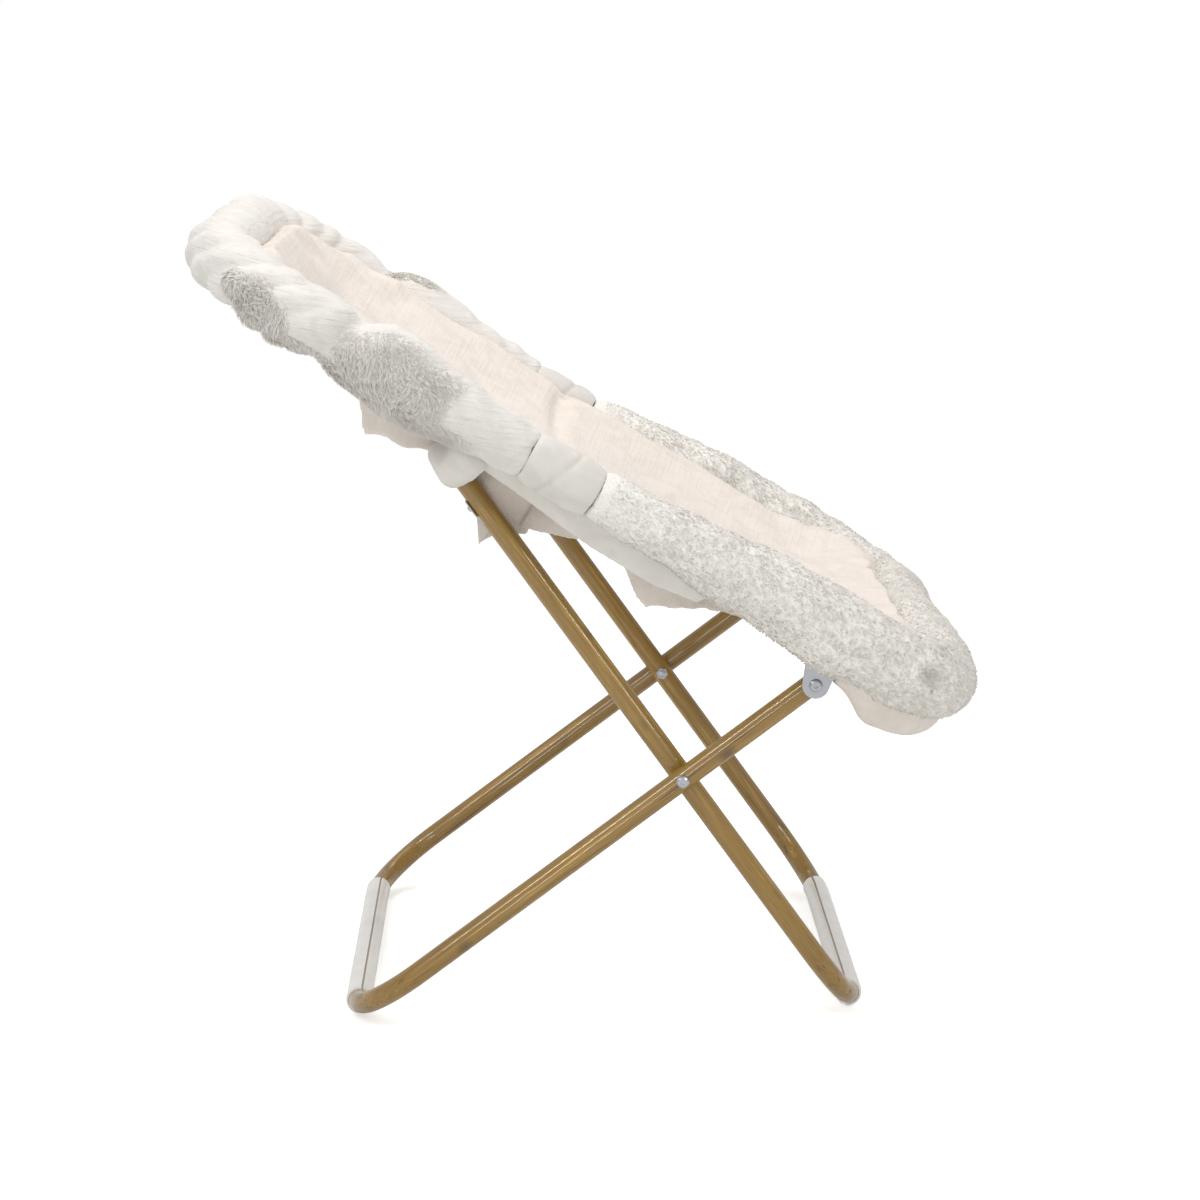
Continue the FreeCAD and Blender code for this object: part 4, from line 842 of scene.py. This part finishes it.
@dataclass
class PaddedSeat:
    """The seat's inner pad, rim, hinge covers and pile."""

    plane: RailPlane
    finishes: Finishes
    nodes: dict
    hinge_spread: float = 0.055
    rail_half: float = 0.372
    cut_face: float = 0.036
    end_draw: float = 0.007
    # remesh sizes, and the furthest that filling may move each piece
    pad_voxel: float = 0.006
    rim_voxel: float = 0.005
    cover_voxel: float = 0.003
    pad_growth: float = 0.012
    rim_growth: float = 0.008
    lip_growth: float = 0.005
    cover_growth: float = 0.002
    # outline of the pad, and how it is sewn up to the rim
    pad_half: float = 0.343
    pad_front: float = -0.445
    pad_rear: float = 0.407
    pad_corner: float = 0.12
    sewn_width: float = 0.11
    sewn_spread: float = 0.020
    sewn_below_crest: float = 0.006
    crest_along: tuple = (-0.49, -0.30, -0.036, 0.036, 0.25, 0.445)
    crest_height: tuple = (0.050, 0.042, 0.028, 0.028, 0.034, 0.041)
    # the pad's slack hollows, the fold between its halves and the gathers into its corners
    pad_hollows: Unevenness = Unevenness(7, 3, 0.0, 0.007)
    pad_fold: Ridge = Ridge(0.0, 0.011, 0.011)
    gather_wander: Unevenness = Unevenness(9, 2, 5.0, 0.25)
    gathers: tuple = ((-0.36, 0.15, 11), (0.31, 0.15, 7))
    gather_from_side: float = 0.25
    gather_depth: float = 0.006
    # the front rim's lumps, the hollow at each corner and the pile over the brackets
    front_lumps: Unevenness = Unevenness(6, 3, 3.0, 0.008)
    front_clumps: Unevenness = Unevenness(20, 3, 9.0, 0.0035)
    hollow_at: tuple = (0.405, -0.474, 0.018)
    hollow: Ridge = Ridge(0.0, 0.017, 0.034)
    hollow_lip: Ridge = Ridge(0.031, 0.008, 0.006)
    bracket_pile: Ridge = Ridge(-0.355, 0.035, 0.007)
    # the slack fold under the front of the rim
    lip_cut: float = -0.375
    lip_lumps: Unevenness = Unevenness(9, 3, 13.0, 0.006)
    # the rear rim's lumps, corner folds, bulge of long pile, tuck and slack creases
    rear_lumps: Unevenness = Unevenness(8, 3, 21.0, 0.005)
    corner_centre: tuple = (0.212, 0.285)
    corner_wander: Unevenness = Unevenness(12, 2, 2.0, 0.12)
    corner_folds: int = 11
    fold_depth: float = 0.0045
    fold_change: Unevenness = Unevenness(9, 2, 17.0, 0.003)
    bulge: Ridge = Ridge(0.195, 0.055, 0.007)
    tuck: Ridge = Ridge(0.0, 0.020, 0.012)
    tuck_along: float = 0.285
    crease_wander: Unevenness = Unevenness(10, 2, 8.0, 2.5)
    crease_depth: float = 0.0012
    # the hinge covers' stretch, unevenness, rounded ends and seam
    cover_stretch: float = 0.28
    cover_lumps: Unevenness = Unevenness(30, 2, 4.0, 0.0018)
    cover_half: float = 0.046
    cover_seam: Ridge = Ridge(0.0, 0.0024, 0.0030)

    def bend_over_hinge(self, obj: bpy.types.Object) -> None:
        """Bake a piece's placement into its mesh; the hinge's start and end points are worked out but not used."""
        start = self.plane.point(0, -self.hinge_spread, 0)
        end = self.plane.point(0, self.hinge_spread, 0)
        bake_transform(obj)

    def crest(self, along: np.ndarray) -> np.ndarray:
        """Height of the rim's crest above the rail plane."""
        return np.interp(along, self.crest_along, self.crest_height)

    def edge_pull(self, x: np.ndarray, along: np.ndarray) -> tuple[np.ndarray, np.ndarray, np.ndarray]:
        """How near points are to the pad's outline, and which way the outline lies.

        Args:
            x: distances across.
            along: distances behind the hinge.

        Returns:
            Signed distance to the outline, and the outward direction's two parts.
        """
        centre = (self.pad_front + self.pad_rear) / 2
        qx = np.abs(x) - (self.pad_half - self.pad_corner)
        qs = np.abs(along - centre) - ((self.pad_rear - self.pad_front) / 2 - self.pad_corner)
        ox, os_ = np.maximum(qx, 0), np.maximum(qs, 0)
        distance = np.hypot(ox, os_) + np.minimum(np.maximum(qx, qs), 0) - self.pad_corner
        flat = (ox + os_) < 1e-6
        ox = np.where(flat, (qx > qs) * 1.0, ox)
        os_ = np.where(flat, (qs >= qx) * 1.0, os_)
        size = np.maximum(np.hypot(ox, os_), 1e-9)
        return distance, ox / size * np.sign(x), os_ / size * np.sign(along - centre)

    def inner_pad(self) -> bpy.types.Object:
        """The quilted velour pad that people sit on, sewn up to the rim's crest.

        Returns:
            The pad.
        """
        pad = copy_nodes("seat_pad", [self.nodes["seat_panel_front"], self.nodes["seat_panel_rear"]])
        inflate(pad, self.pad_voxel, 3.0, self.pad_growth)
        places = read_points(pad)
        normals = read_normals(pad)
        x, along, _ = self.plane.split(places)
        up = np.clip(normals @ np.array(self.plane.normal), 0, 1)
        distance, out_x, out_s = self.edge_pull(x, along)
        near = smooth_step(distance, -self.sewn_width, 0.0)
        climb = near**1.4 * (self.crest(along) - self.sewn_below_crest)
        spread = near**2 * self.sewn_spread
        places[:, 0] += out_x * spread
        places += np.outer(out_s * spread, np.array(self.plane.rearward))
        places += np.outer(climb, np.array(self.plane.normal))
        # broad hollows of a slack cover
        move = self.pad_hollows.at(places) * up
        # the fold where the two halves meet, deeper towards the sides
        fold = self.pad_fold.at(along + 0.010 + 0.010 * np.sin(x * 14))
        move -= fold * smooth_step(np.abs(x), 0.08, 0.27) * up
        # gathers that run into the corners
        for corner_along, reach, folds in self.gathers:
            for side in (-1, 1):
                dx, ds = x * side - self.gather_from_side, (along - corner_along) * np.sign(corner_along)
                apart = np.hypot(dx, ds)
                fade = np.exp(-(apart**2) / reach**2) * smooth_step(apart, 0.03, 0.10)
                angle = np.arctan2(ds, dx) + self.gather_wander.at(places)
                move += fade * np.sin(angle * folds) * self.gather_depth * up
        push_out(pad, places, normals, move)
        apply_modifier(pad, "SMOOTH", factor=0.5, iterations=2)
        apply_modifier(pad, "SUBSURF", levels=1, render_levels=1)
        shade_smooth(pad)
        dress(pad, self.finishes.velour)
        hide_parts("seat_panel_front", "seat_panel_rear")
        self.bend_over_hinge(pad)
        return pad

    def front_rim(self) -> bpy.types.Object:
        """The fluffy front half of the rim, with its folded corner ends.

        Returns:
            The rim.
        """
        rim = copy_nodes("front_rim", [self.nodes["rim_roll_front"]])
        inflate(rim, self.rim_voxel, 3.0, self.rim_growth)
        places = read_points(rim)
        normals = read_normals(rim)
        _, along, height = self.plane.split(places)
        move = self.front_lumps.at(places) + self.front_clumps.at(places)
        for side in (-1, 1):
            # the folded end of the cover at each front corner leaves a small hollow with a lip
            hollow_x, hollow_along, hollow_height = self.hollow_at
            apart = places - np.array(self.plane.point(side * hollow_x, hollow_along, hollow_height))
            _, across, up = self.plane.split(apart + np.array([0, self.plane.hinge_y, self.plane.hinge_z]))
            far = np.sqrt((apart[:, 0] * 0.6) ** 2 + across**2 + (up * 1.5) ** 2)
            move -= self.hollow.at(far)
            move += self.hollow_lip.at(far)
        # pile that hangs over the front brackets
        move += self.bracket_pile.at(along) * (height < -0.01)
        move -= end_roll(along + self.cut_face, -1) * self.end_draw
        push_out(rim, places, normals, move)
        apply_modifier(rim, "SUBSURF", levels=1, render_levels=1)
        shade_smooth(rim)
        dress(rim, self.finishes.long_pile)
        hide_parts("rim_roll_front")
        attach(rim, Body.SEAT_FRONT.value)
        return rim

    def front_lip(self) -> bpy.types.Object:
        """The slack fold of cover that hangs just under the front of the rim.

        Returns:
            The fold.
        """
        lip = copy_nodes("front_lip", [self.nodes["rim_roll_front"]])
        make_active(lip)
        bpy.ops.object.mode_set(mode="EDIT")
        bpy.ops.mesh.select_all(action="SELECT")
        cut = self.plane.point(0, self.lip_cut, 0)
        normal = tuple(self.plane.rearward)
        bpy.ops.mesh.bisect(plane_co=tuple(cut), plane_no=normal, use_fill=True, clear_outer=True)
        bpy.ops.object.mode_set(mode="OBJECT")
        places = read_points(lip)
        x, along, _ = self.plane.split(places)
        deep = smooth_step(-along, -self.lip_cut, 0.46)
        places[:, 0] -= np.sign(x) * 0.030 * smooth_step(np.abs(x), 0.2, 0.36)
        places += np.outer(0.016 * deep, np.array(self.plane.rearward))
        places -= np.outer(0.012 + 0.024 * deep, np.array(self.plane.normal))
        write_points(lip, places)
        inflate(lip, self.rim_voxel, 1.0, self.lip_growth)
        places = read_points(lip)
        push_out(lip, places, read_normals(lip), self.lip_lumps.at(places))
        apply_modifier(lip, "SMOOTH", factor=0.6, iterations=4)
        shade_smooth(lip)
        dress(lip, self.finishes.velour)
        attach(lip, Body.SEAT_FRONT.value)
        return lip

    def rear_rim(self) -> bpy.types.Object:
        """The rear half of the rim: smooth velour with puckers at the corners.

        Returns:
            The rim.
        """
        rim = copy_nodes("rear_rim", [self.nodes["rim_roll_rear"]])
        inflate(rim, self.rim_voxel, 3.0, self.rim_growth)
        places = read_points(rim)
        normals = read_normals(rim)
        x, along, height = self.plane.split(places)
        move = self.rear_lumps.at(places)
        corner = smooth_step(along, 0.27, 0.36) * smooth_step(np.abs(x), 0.10, 0.26)
        centre_x, centre_along = self.corner_centre
        turn = np.arctan2(along - centre_along, np.abs(x) - centre_x) + height * 6 + self.corner_wander.at(places)
        depth = self.fold_depth + self.fold_change.at(places)
        move += corner * (np.abs(np.sin(turn * self.corner_folds)) - 0.6) * depth
        # the bulge of long pile half way along, and the tuck behind it
        move += self.bulge.at(along) * (np.abs(x) > 0.3)
        move -= self.tuck.at(along - self.tuck_along + height * 0.4) * smooth_step(np.abs(x), 0.30, 0.36)
        # slack creases of the velour cover ahead of the bulge
        creases = np.sin((along - height * 0.8) * 150 + self.crease_wander.at(places))
        move += creases * self.crease_depth * (1 - smooth_step(along, 0.13, 0.2))
        move -= end_roll(along - self.cut_face, 1) * self.end_draw
        push_out(rim, places, normals, move)
        apply_modifier(rim, "SUBSURF", levels=1, render_levels=1)
        shade_smooth(rim)
        # dressed in the greyer velour that paints shade onto the rear rim
        dress(rim, self.finishes.rim_velour_painted_shade)
        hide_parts("rim_roll_rear")
        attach(rim, Body.SEAT_REAR.value)
        return rim

    def hinge_covers(self) -> None:
        """The smooth suede sleeves over both side hinges, tucked into both rims' ends."""
        for side in Side:
            name = f"hinge_cover_{side.word}"
            cover = copy_nodes(f"hinge_wrap_{side.word}", [self.nodes[name]])
            places = read_points(cover)
            _, along, _ = self.plane.split(places)
            places += np.outer(along * self.cover_stretch, np.array(self.plane.rearward))
            write_points(cover, places)
            inflate(cover, self.cover_voxel, 2.0, self.cover_growth)
            places = read_points(cover)
            _, along, height = self.plane.split(places)
            move = self.cover_lumps.at(places) + 0.002 - (along / self.cover_half) ** 4 * 0.006
            move -= self.cover_seam.at(along - 0.004 + height * 0.45)
            push_out(cover, places, read_normals(cover), move)
            apply_modifier(cover, "SMOOTH", factor=0.5, iterations=2)
            shade_smooth(cover)
            dress(cover, self.finishes.suede)
            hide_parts(name)
            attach(cover, Body.SEAT_FRONT.value)
            LOG.info("%s built", cover.name)

    def pile(self, front: bpy.types.Object, rear: bpy.types.Object) -> None:
        """Locks of pile over the front rim and over the rear rim's fluffy patches.

        Args:
            front: the front rim.
            rear: the rear rim.
        """
        plane = self.plane

        def front_mask(centre: np.ndarray) -> np.ndarray:
            """Full pile all over, shorter near the side hinges and none inside the bore."""
            x, along, height = plane.split(centre)
            open_air = (np.abs(np.abs(x) - self.rail_half) > 0.02) | (np.abs(height) > 0.02) | (along < -0.37)
            return (0.45 + 0.55 * smooth_step(-along, 0.05, 0.16)) * open_air * (along < -0.056)

        def rear_mask(centre: np.ndarray) -> np.ndarray:
            """Ragged patches on each side: one half way along, one low on the corner, one under the rim."""
            x, along, height = plane.split(centre)
            ragged = cloud(centre, 16, 2, 7.0) * 0.035
            outer = np.abs(x) > 0.35
            middle = 1 - smooth_step(np.hypot(along - 0.205, (height + 0.014) * 1.1) + ragged, 0.035, 0.08)
            low = 1 - smooth_step(np.hypot((along - 0.380) * 0.8, height + 0.028) + ragged, 0.03, 0.06)
            under = (height < -0.018) * smooth_step(along, 0.09, 0.13) * 0.8
            return np.maximum(np.maximum(middle, low), under) * outer

        fields = [
            (PileField("front_rim_pile", PileTuft(0.0048, 0.0018), 60000, -plane.rearward * 0.5, 0.55, 11, front_mask),
             front, Body.SEAT_FRONT),
            (PileField("rear_rim_pile", PileTuft(0.0095, 0.0022), 24000, Vector((0, -0.3, -0.8)), 0.55, 23, rear_mask),
             rear, Body.SEAT_REAR),
        ]
        for pile_field, base, body in fields:
            locks = pile_field.build(base)
            dress(locks, self.finishes.lock)
            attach(locks, body.value)
            LOG.info("%s built with %d locks", locks.name, pile_field.count)

    def build(self) -> None:
        """Build the pad, the rims, the covers and the pile."""
        self.inner_pad()
        LOG.info("seat pad built")
        front, rear = self.front_rim(), self.rear_rim()
        LOG.info("both rims built")
        self.front_lip()
        self.hinge_covers()
        self.pile(front, rear)


@dataclass
class Hems:
    """The hanging skirts, hems, tether tabs and leg socks."""

    plane: RailPlane
    finishes: Finishes
    nodes: dict
    band_top: float = -0.021
    ear_inner: float = 0.345
    nut_cover: float = 0.014
    skirt_voxel: float = 0.0026
    band_voxel: float = 0.0022
    tab_voxel: float = 0.0009
    cap_voxel: float = 0.003
    skirt_sway: Unevenness = Unevenness(12, 2, 6.0, 1.0)
    skirt_fray: Unevenness = Unevenness(40, 2, 3.0, 0.004)
    band_fray: Unevenness = Unevenness(25, 2, 2.0, 0.002)
    cap_lumps: Unevenness = Unevenness(26, 2, 14.0, 0.0022)
    tab_curl: Unevenness = Unevenness(45, 2, 6.0, 0.0012)
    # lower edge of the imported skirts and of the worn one: distance behind the hinge, then height
    plain_edge: tuple = (
        (-0.340, -0.022), (-0.300, -0.060), (-0.177, -0.087), (-0.001, -0.118), (0.001, -0.118),
        (0.034, -0.123), (0.206, -0.085), (0.250, -0.030),
    )
    worn_edge: tuple = (
        (-0.340, -0.022), (-0.249, -0.046), (-0.217, -0.056), (-0.163, -0.090), (-0.148, -0.085), (-0.105, -0.050),
        (-0.080, -0.053), (-0.029, -0.070), (0.020, -0.098), (0.034, -0.121), (0.050, -0.098), (0.090, -0.064),
        (0.133, -0.062), (0.190, -0.075), (0.206, -0.084), (0.250, -0.030),
    )

    def worn(self, along: np.ndarray, height: np.ndarray) -> np.ndarray:
        """Heights of a skirt's points once its lower edge has its worn outline."""
        plain = np.interp(along, *np.transpose(self.plain_edge))
        ragged = np.interp(along, *np.transpose(self.worn_edge))
        share = (ragged - self.band_top) / np.minimum(plain - self.band_top, -0.001)
        return self.band_top + (height - self.band_top) * share

    def finish(self, cloth: bpy.types.Object, source: str, body: Body,
               material: bpy.types.Material) -> None:
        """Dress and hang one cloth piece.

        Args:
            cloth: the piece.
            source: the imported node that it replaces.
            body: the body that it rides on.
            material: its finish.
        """
        shade_smooth(cloth)
        dress(cloth, material)
        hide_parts(source)
        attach(cloth, body.value)
        LOG.info("%s built", cloth.name)

    def skirt(self, half: str, side: Side, body: Body) -> None:
        """One hanging skirt, with its worn edge and its soft folds."""
        source = f"{half}_skirt_{side.word}"
        cloth = copy_nodes(f"{source}_cloth", [self.nodes[source]])
        apply_modifier(cloth, "REMESH", mode="VOXEL", voxel_size=self.skirt_voxel)
        places = read_points(cloth)
        _, along, height = self.plane.split(places)
        hang = smooth_step(-height, 0.02, 0.09)
        wave = np.sin(along * 62 + np.sin(along * 17) * 1.5) * 0.7 + self.skirt_sway.at(places)
        lower = self.worn(along, height) + self.skirt_fray.at(places) * hang
        lap = np.sign(-along) * 0.007 * (1 - smooth_step(np.abs(along), 0.0, 0.03))
        places += np.outer(lower - height, np.array(self.plane.normal)) + np.outer(lap, np.array(self.plane.rearward))
        places[:, 0] += wave * 0.007 * hang
        write_points(cloth, places)
        self.finish(cloth, source, body, self.finishes.velour)

    def side_band(self, half: str, side: Side, body: Body) -> None:
        """One smooth band of cover that shows under the rim beside the hinge."""
        source = f"{half}_side_hem_{side.word}"
        cloth = copy_nodes(f"{source}_cloth", [self.nodes[source]])
        apply_modifier(cloth, "REMESH", mode="VOXEL", voxel_size=self.band_voxel)
        places = read_points(cloth)
        x, along, height = self.plane.split(places)
        if half == "front":
            longer = np.interp(along, [-0.092, -0.001], [-0.215, 0.004])
        else:
            longer = np.interp(along, [0.001, 0.088], [-0.002, 0.150])
        low = np.interp(longer, [-0.215, -0.15, -0.07, 0.0, 0.15], [-0.050, -0.058, -0.056, -0.047, -0.036])
        share = (height + 0.021) / -0.040
        lower = -0.018 + (low + 0.018) * share + self.band_fray.at(places) * share
        side_x = np.sign(x) * (0.371 + (x * np.sign(x) - 0.3505) - share * 0.004)
        ripple = np.sin(longer * 70) * 0.0015 * share
        for row in range(len(places)):
            places[row] = self.plane.point(side_x[row] + ripple[row], longer[row], lower[row])
        write_points(cloth, places)
        self.finish(cloth, source, body, self.finishes.suede)

    def sock(self, side: Side) -> None:
        """The cloth cap drawn over an inner leg's top end and the ear that carries it."""
        source = f"leg_sock_{side.word}"
        cap = copy_nodes(f"leg_cap_{side.word}", [self.nodes[source], self.nodes[f"rear_bracket_{side.word}"]])
        shape = bmesh.new()
        shape.from_mesh(cap.data)
        keep_below = self.plane.point(0, 0, -0.030)
        bmesh.ops.bisect_plane(
            shape, geom=shape.verts[:] + shape.edges[:] + shape.faces[:], plane_co=keep_below,
            plane_no=self.plane.normal, clear_outer=True,
        )
        hull = bmesh.ops.convex_hull(shape, input=shape.verts[:])
        loose = set(hull["geom_interior"]) | set(hull["geom_unused"])
        bmesh.ops.delete(shape, geom=[v for v in loose if isinstance(v, bmesh.types.BMVert)], context="VERTS")
        shape.to_mesh(cap.data)
        shape.free()
        places = read_points(cap)
        places[:, 0] += np.sign(places[:, 0]) * self.nut_cover * (np.abs(places[:, 0]) > self.ear_inner)
        write_points(cap, places)
        inflate(cap, self.cap_voxel, 1.0, 0.003)
        places = read_points(cap)
        push_out(cap, places, read_normals(cap), 0.0035 + self.cap_lumps.at(places))
        apply_modifier(cap, "SMOOTH", factor=0.5, iterations=6)
        self.finish(cap, source, Body.FRONT_FOOT, self.finishes.suede)

    def tab(self, side: Side) -> None:
        """One tether tab under the screw on an inner leg."""
        source = f"tether_tab_{side.word}"
        cloth = copy_nodes(f"{source}_cloth", [self.nodes[source]])
        apply_modifier(cloth, "REMESH", mode="VOXEL", voxel_size=self.tab_voxel)
        places = read_points(cloth)
        places[:, 0] += self.tab_curl.at(places)
        write_points(cloth, places)
        self.finish(cloth, source, Body.FRONT_FOOT, self.finishes.suede)

    def build(self) -> None:
        """Build every hanging piece."""
        for side in Side:
            self.skirt("front", side, Body.SEAT_FRONT)
            self.skirt("rear", side, Body.SEAT_REAR)
            self.side_band("front", side, Body.SEAT_FRONT)
            self.side_band("rear", side, Body.SEAT_REAR)
            self.sock(side)
            self.tab(side)
        hem = copy_nodes("front_hem_cloth", [self.nodes["front_hem"]])
        apply_modifier(hem, "REMESH", mode="VOXEL", voxel_size=self.band_voxel)
        self.finish(hem, "front_hem", Body.SEAT_FRONT, self.finishes.velour)


@dataclass(frozen=True)
class Studio:
    """The camera, the pale floor and the soft lights."""

    camera_at: tuple[float, float, float] = (-4.246, 0.0562, 1.145)
    pitch_deg: float = 9.49
    yaw_deg: float = -1.06
    focal_px: float = 3585.0
    frame_px: float = 1200.0
    sensor_mm: float = 36.0
    floor_size: float = 30
    floor_drop: float = 0.0005
    floor_glow: float = 0.5
    fill_light: float = 0.6

    def camera(self) -> None:
        """Place the camera where the photograph was taken."""
        data = bpy.data.cameras.new("photo_camera")
        data.sensor_width = self.sensor_mm
        data.lens = self.focal_px / self.frame_px * self.sensor_mm
        data.clip_end = 50
        camera = bpy.data.objects.new("photo_camera", data)
        bpy.context.scene.collection.objects.link(camera)
        pitch, yaw = math.radians(self.pitch_deg), math.radians(self.yaw_deg)
        ahead = Vector((math.cos(pitch) * math.cos(yaw), math.cos(pitch) * math.sin(yaw), -math.sin(pitch)))
        camera.location = self.camera_at
        camera.rotation_euler = ahead.to_track_quat("-Z", "Y").to_euler()
        bpy.context.scene.camera = camera

    def backdrop(self) -> None:
        """Lay the pale floor, which shows white but keeps the chair's soft shadow."""
        bpy.ops.object.select_all(action="DESELECT")
        bpy.ops.mesh.primitive_plane_add(size=self.floor_size, location=(0, 0, -self.floor_drop))
        floor = bpy.context.object
        floor.name = "studio_floor"
        material, tree, shader = new_material("pale_floor")
        shader.inputs["Base Color"].default_value = srgb("#F2F2F0")
        shader.inputs["Roughness"].default_value = 0.9
        path = add_node(tree, "ShaderNodeLightPath")
        seen = add_node(
            tree, "ShaderNodeMath", {"operation": "MULTIPLY", 1: self.floor_glow}, i0=path.outputs["Is Camera Ray"]
        )
        tree.links.new(seen.outputs[0], shader.inputs["Emission Strength"])
        shader.inputs["Emission Color"].default_value = (1, 1, 1, 1)
        dress(floor, material)

    def world(self) -> None:
        """Light evenly from all round, and show plain white behind the chair."""
        world = bpy.data.worlds.new("studio_world")
        bpy.context.scene.world = world
        world.use_nodes = True
        tree = world.node_tree
        tree.nodes.clear()
        path = add_node(tree, "ShaderNodeLightPath")
        fill = add_node(tree, "ShaderNodeBackground", {"Strength": self.fill_light, "Color": srgb("#FFFFFF")})
        white = add_node(tree, "ShaderNodeBackground", {"Strength": 1.0, "Color": (1, 1, 1, 1)})
        mix = add_node(
            tree, "ShaderNodeMixShader", None, i0=path.outputs["Is Camera Ray"], i1=fill.outputs[0], i2=white.outputs[0]
        )
        add_node(tree, "ShaderNodeOutputWorld", None, Surface=mix.outputs[0])

    def lamp(self, name: str, at: tuple, aim: tuple, size: tuple, power: float, tint: str) -> None:
        """Hang one soft box.

        Args:
            name: its name.
            at: where it hangs.
            aim: the point that it faces.
            size: its width and height.
            power: its power in watts.
            tint: its colour.
        """
        data = bpy.data.lights.new(name, "AREA")
        data.shape = "RECTANGLE"
        data.size, data.size_y = size
        data.energy = power
        data.color = srgb(tint)[:3]
        lamp = bpy.data.objects.new(name, data)
        bpy.context.scene.collection.objects.link(lamp)
        lamp.location = at
        lamp.rotation_euler = (Vector(aim) - Vector(at)).to_track_quat("-Z", "Y").to_euler()

    def build(self) -> None:
        """Set up the whole studio."""
        self.camera()
        self.backdrop()
        self.world()
        self.lamp("overhead_box", (0.4, 0.2, 3.0), (0, 0, 0.4), (2.0, 2.0), 30, "#FFF8F2")
        self.lamp("camera_left_strip", (-1.6, 1.6, 2.6), (0, 0, 0.4), (0.12, 2.2), 24, "#FFFFFF")
        self.lamp("low_strip", (-3.2, 0.6, 0.5), (0, 0, 0.4), (0.08, 1.6), 7, "#FFFFFF")
        self.lamp("camera_right_strip", (-2.2, -2.2, 2.2), (0, 0, 0.4), (0.12, 2.0), 20, "#FFFFFF")
        scene = bpy.context.scene
        scene.view_settings.view_transform = "Standard"
        LOG.info("studio set")


def main() -> None:
    """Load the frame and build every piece."""
    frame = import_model()
    bpy.ops.object.select_all(action="DESELECT")
    Studio().build()
    fold = next(joint for joint in frame["joints"] if joint["name"] == "seat_fold")
    plane = RailPlane(fold["pos_m"][1], fold["pos_m"][2])
    finishes = Finishes()
    Metalwork(finishes, frame["nodes"]).dress_all()
    PaddedSeat(plane, finishes, frame["nodes"]).build()
    Hems(plane, finishes, frame["nodes"]).build()
    LOG.info("boxes written")


if __name__ == "__main__":
    main()
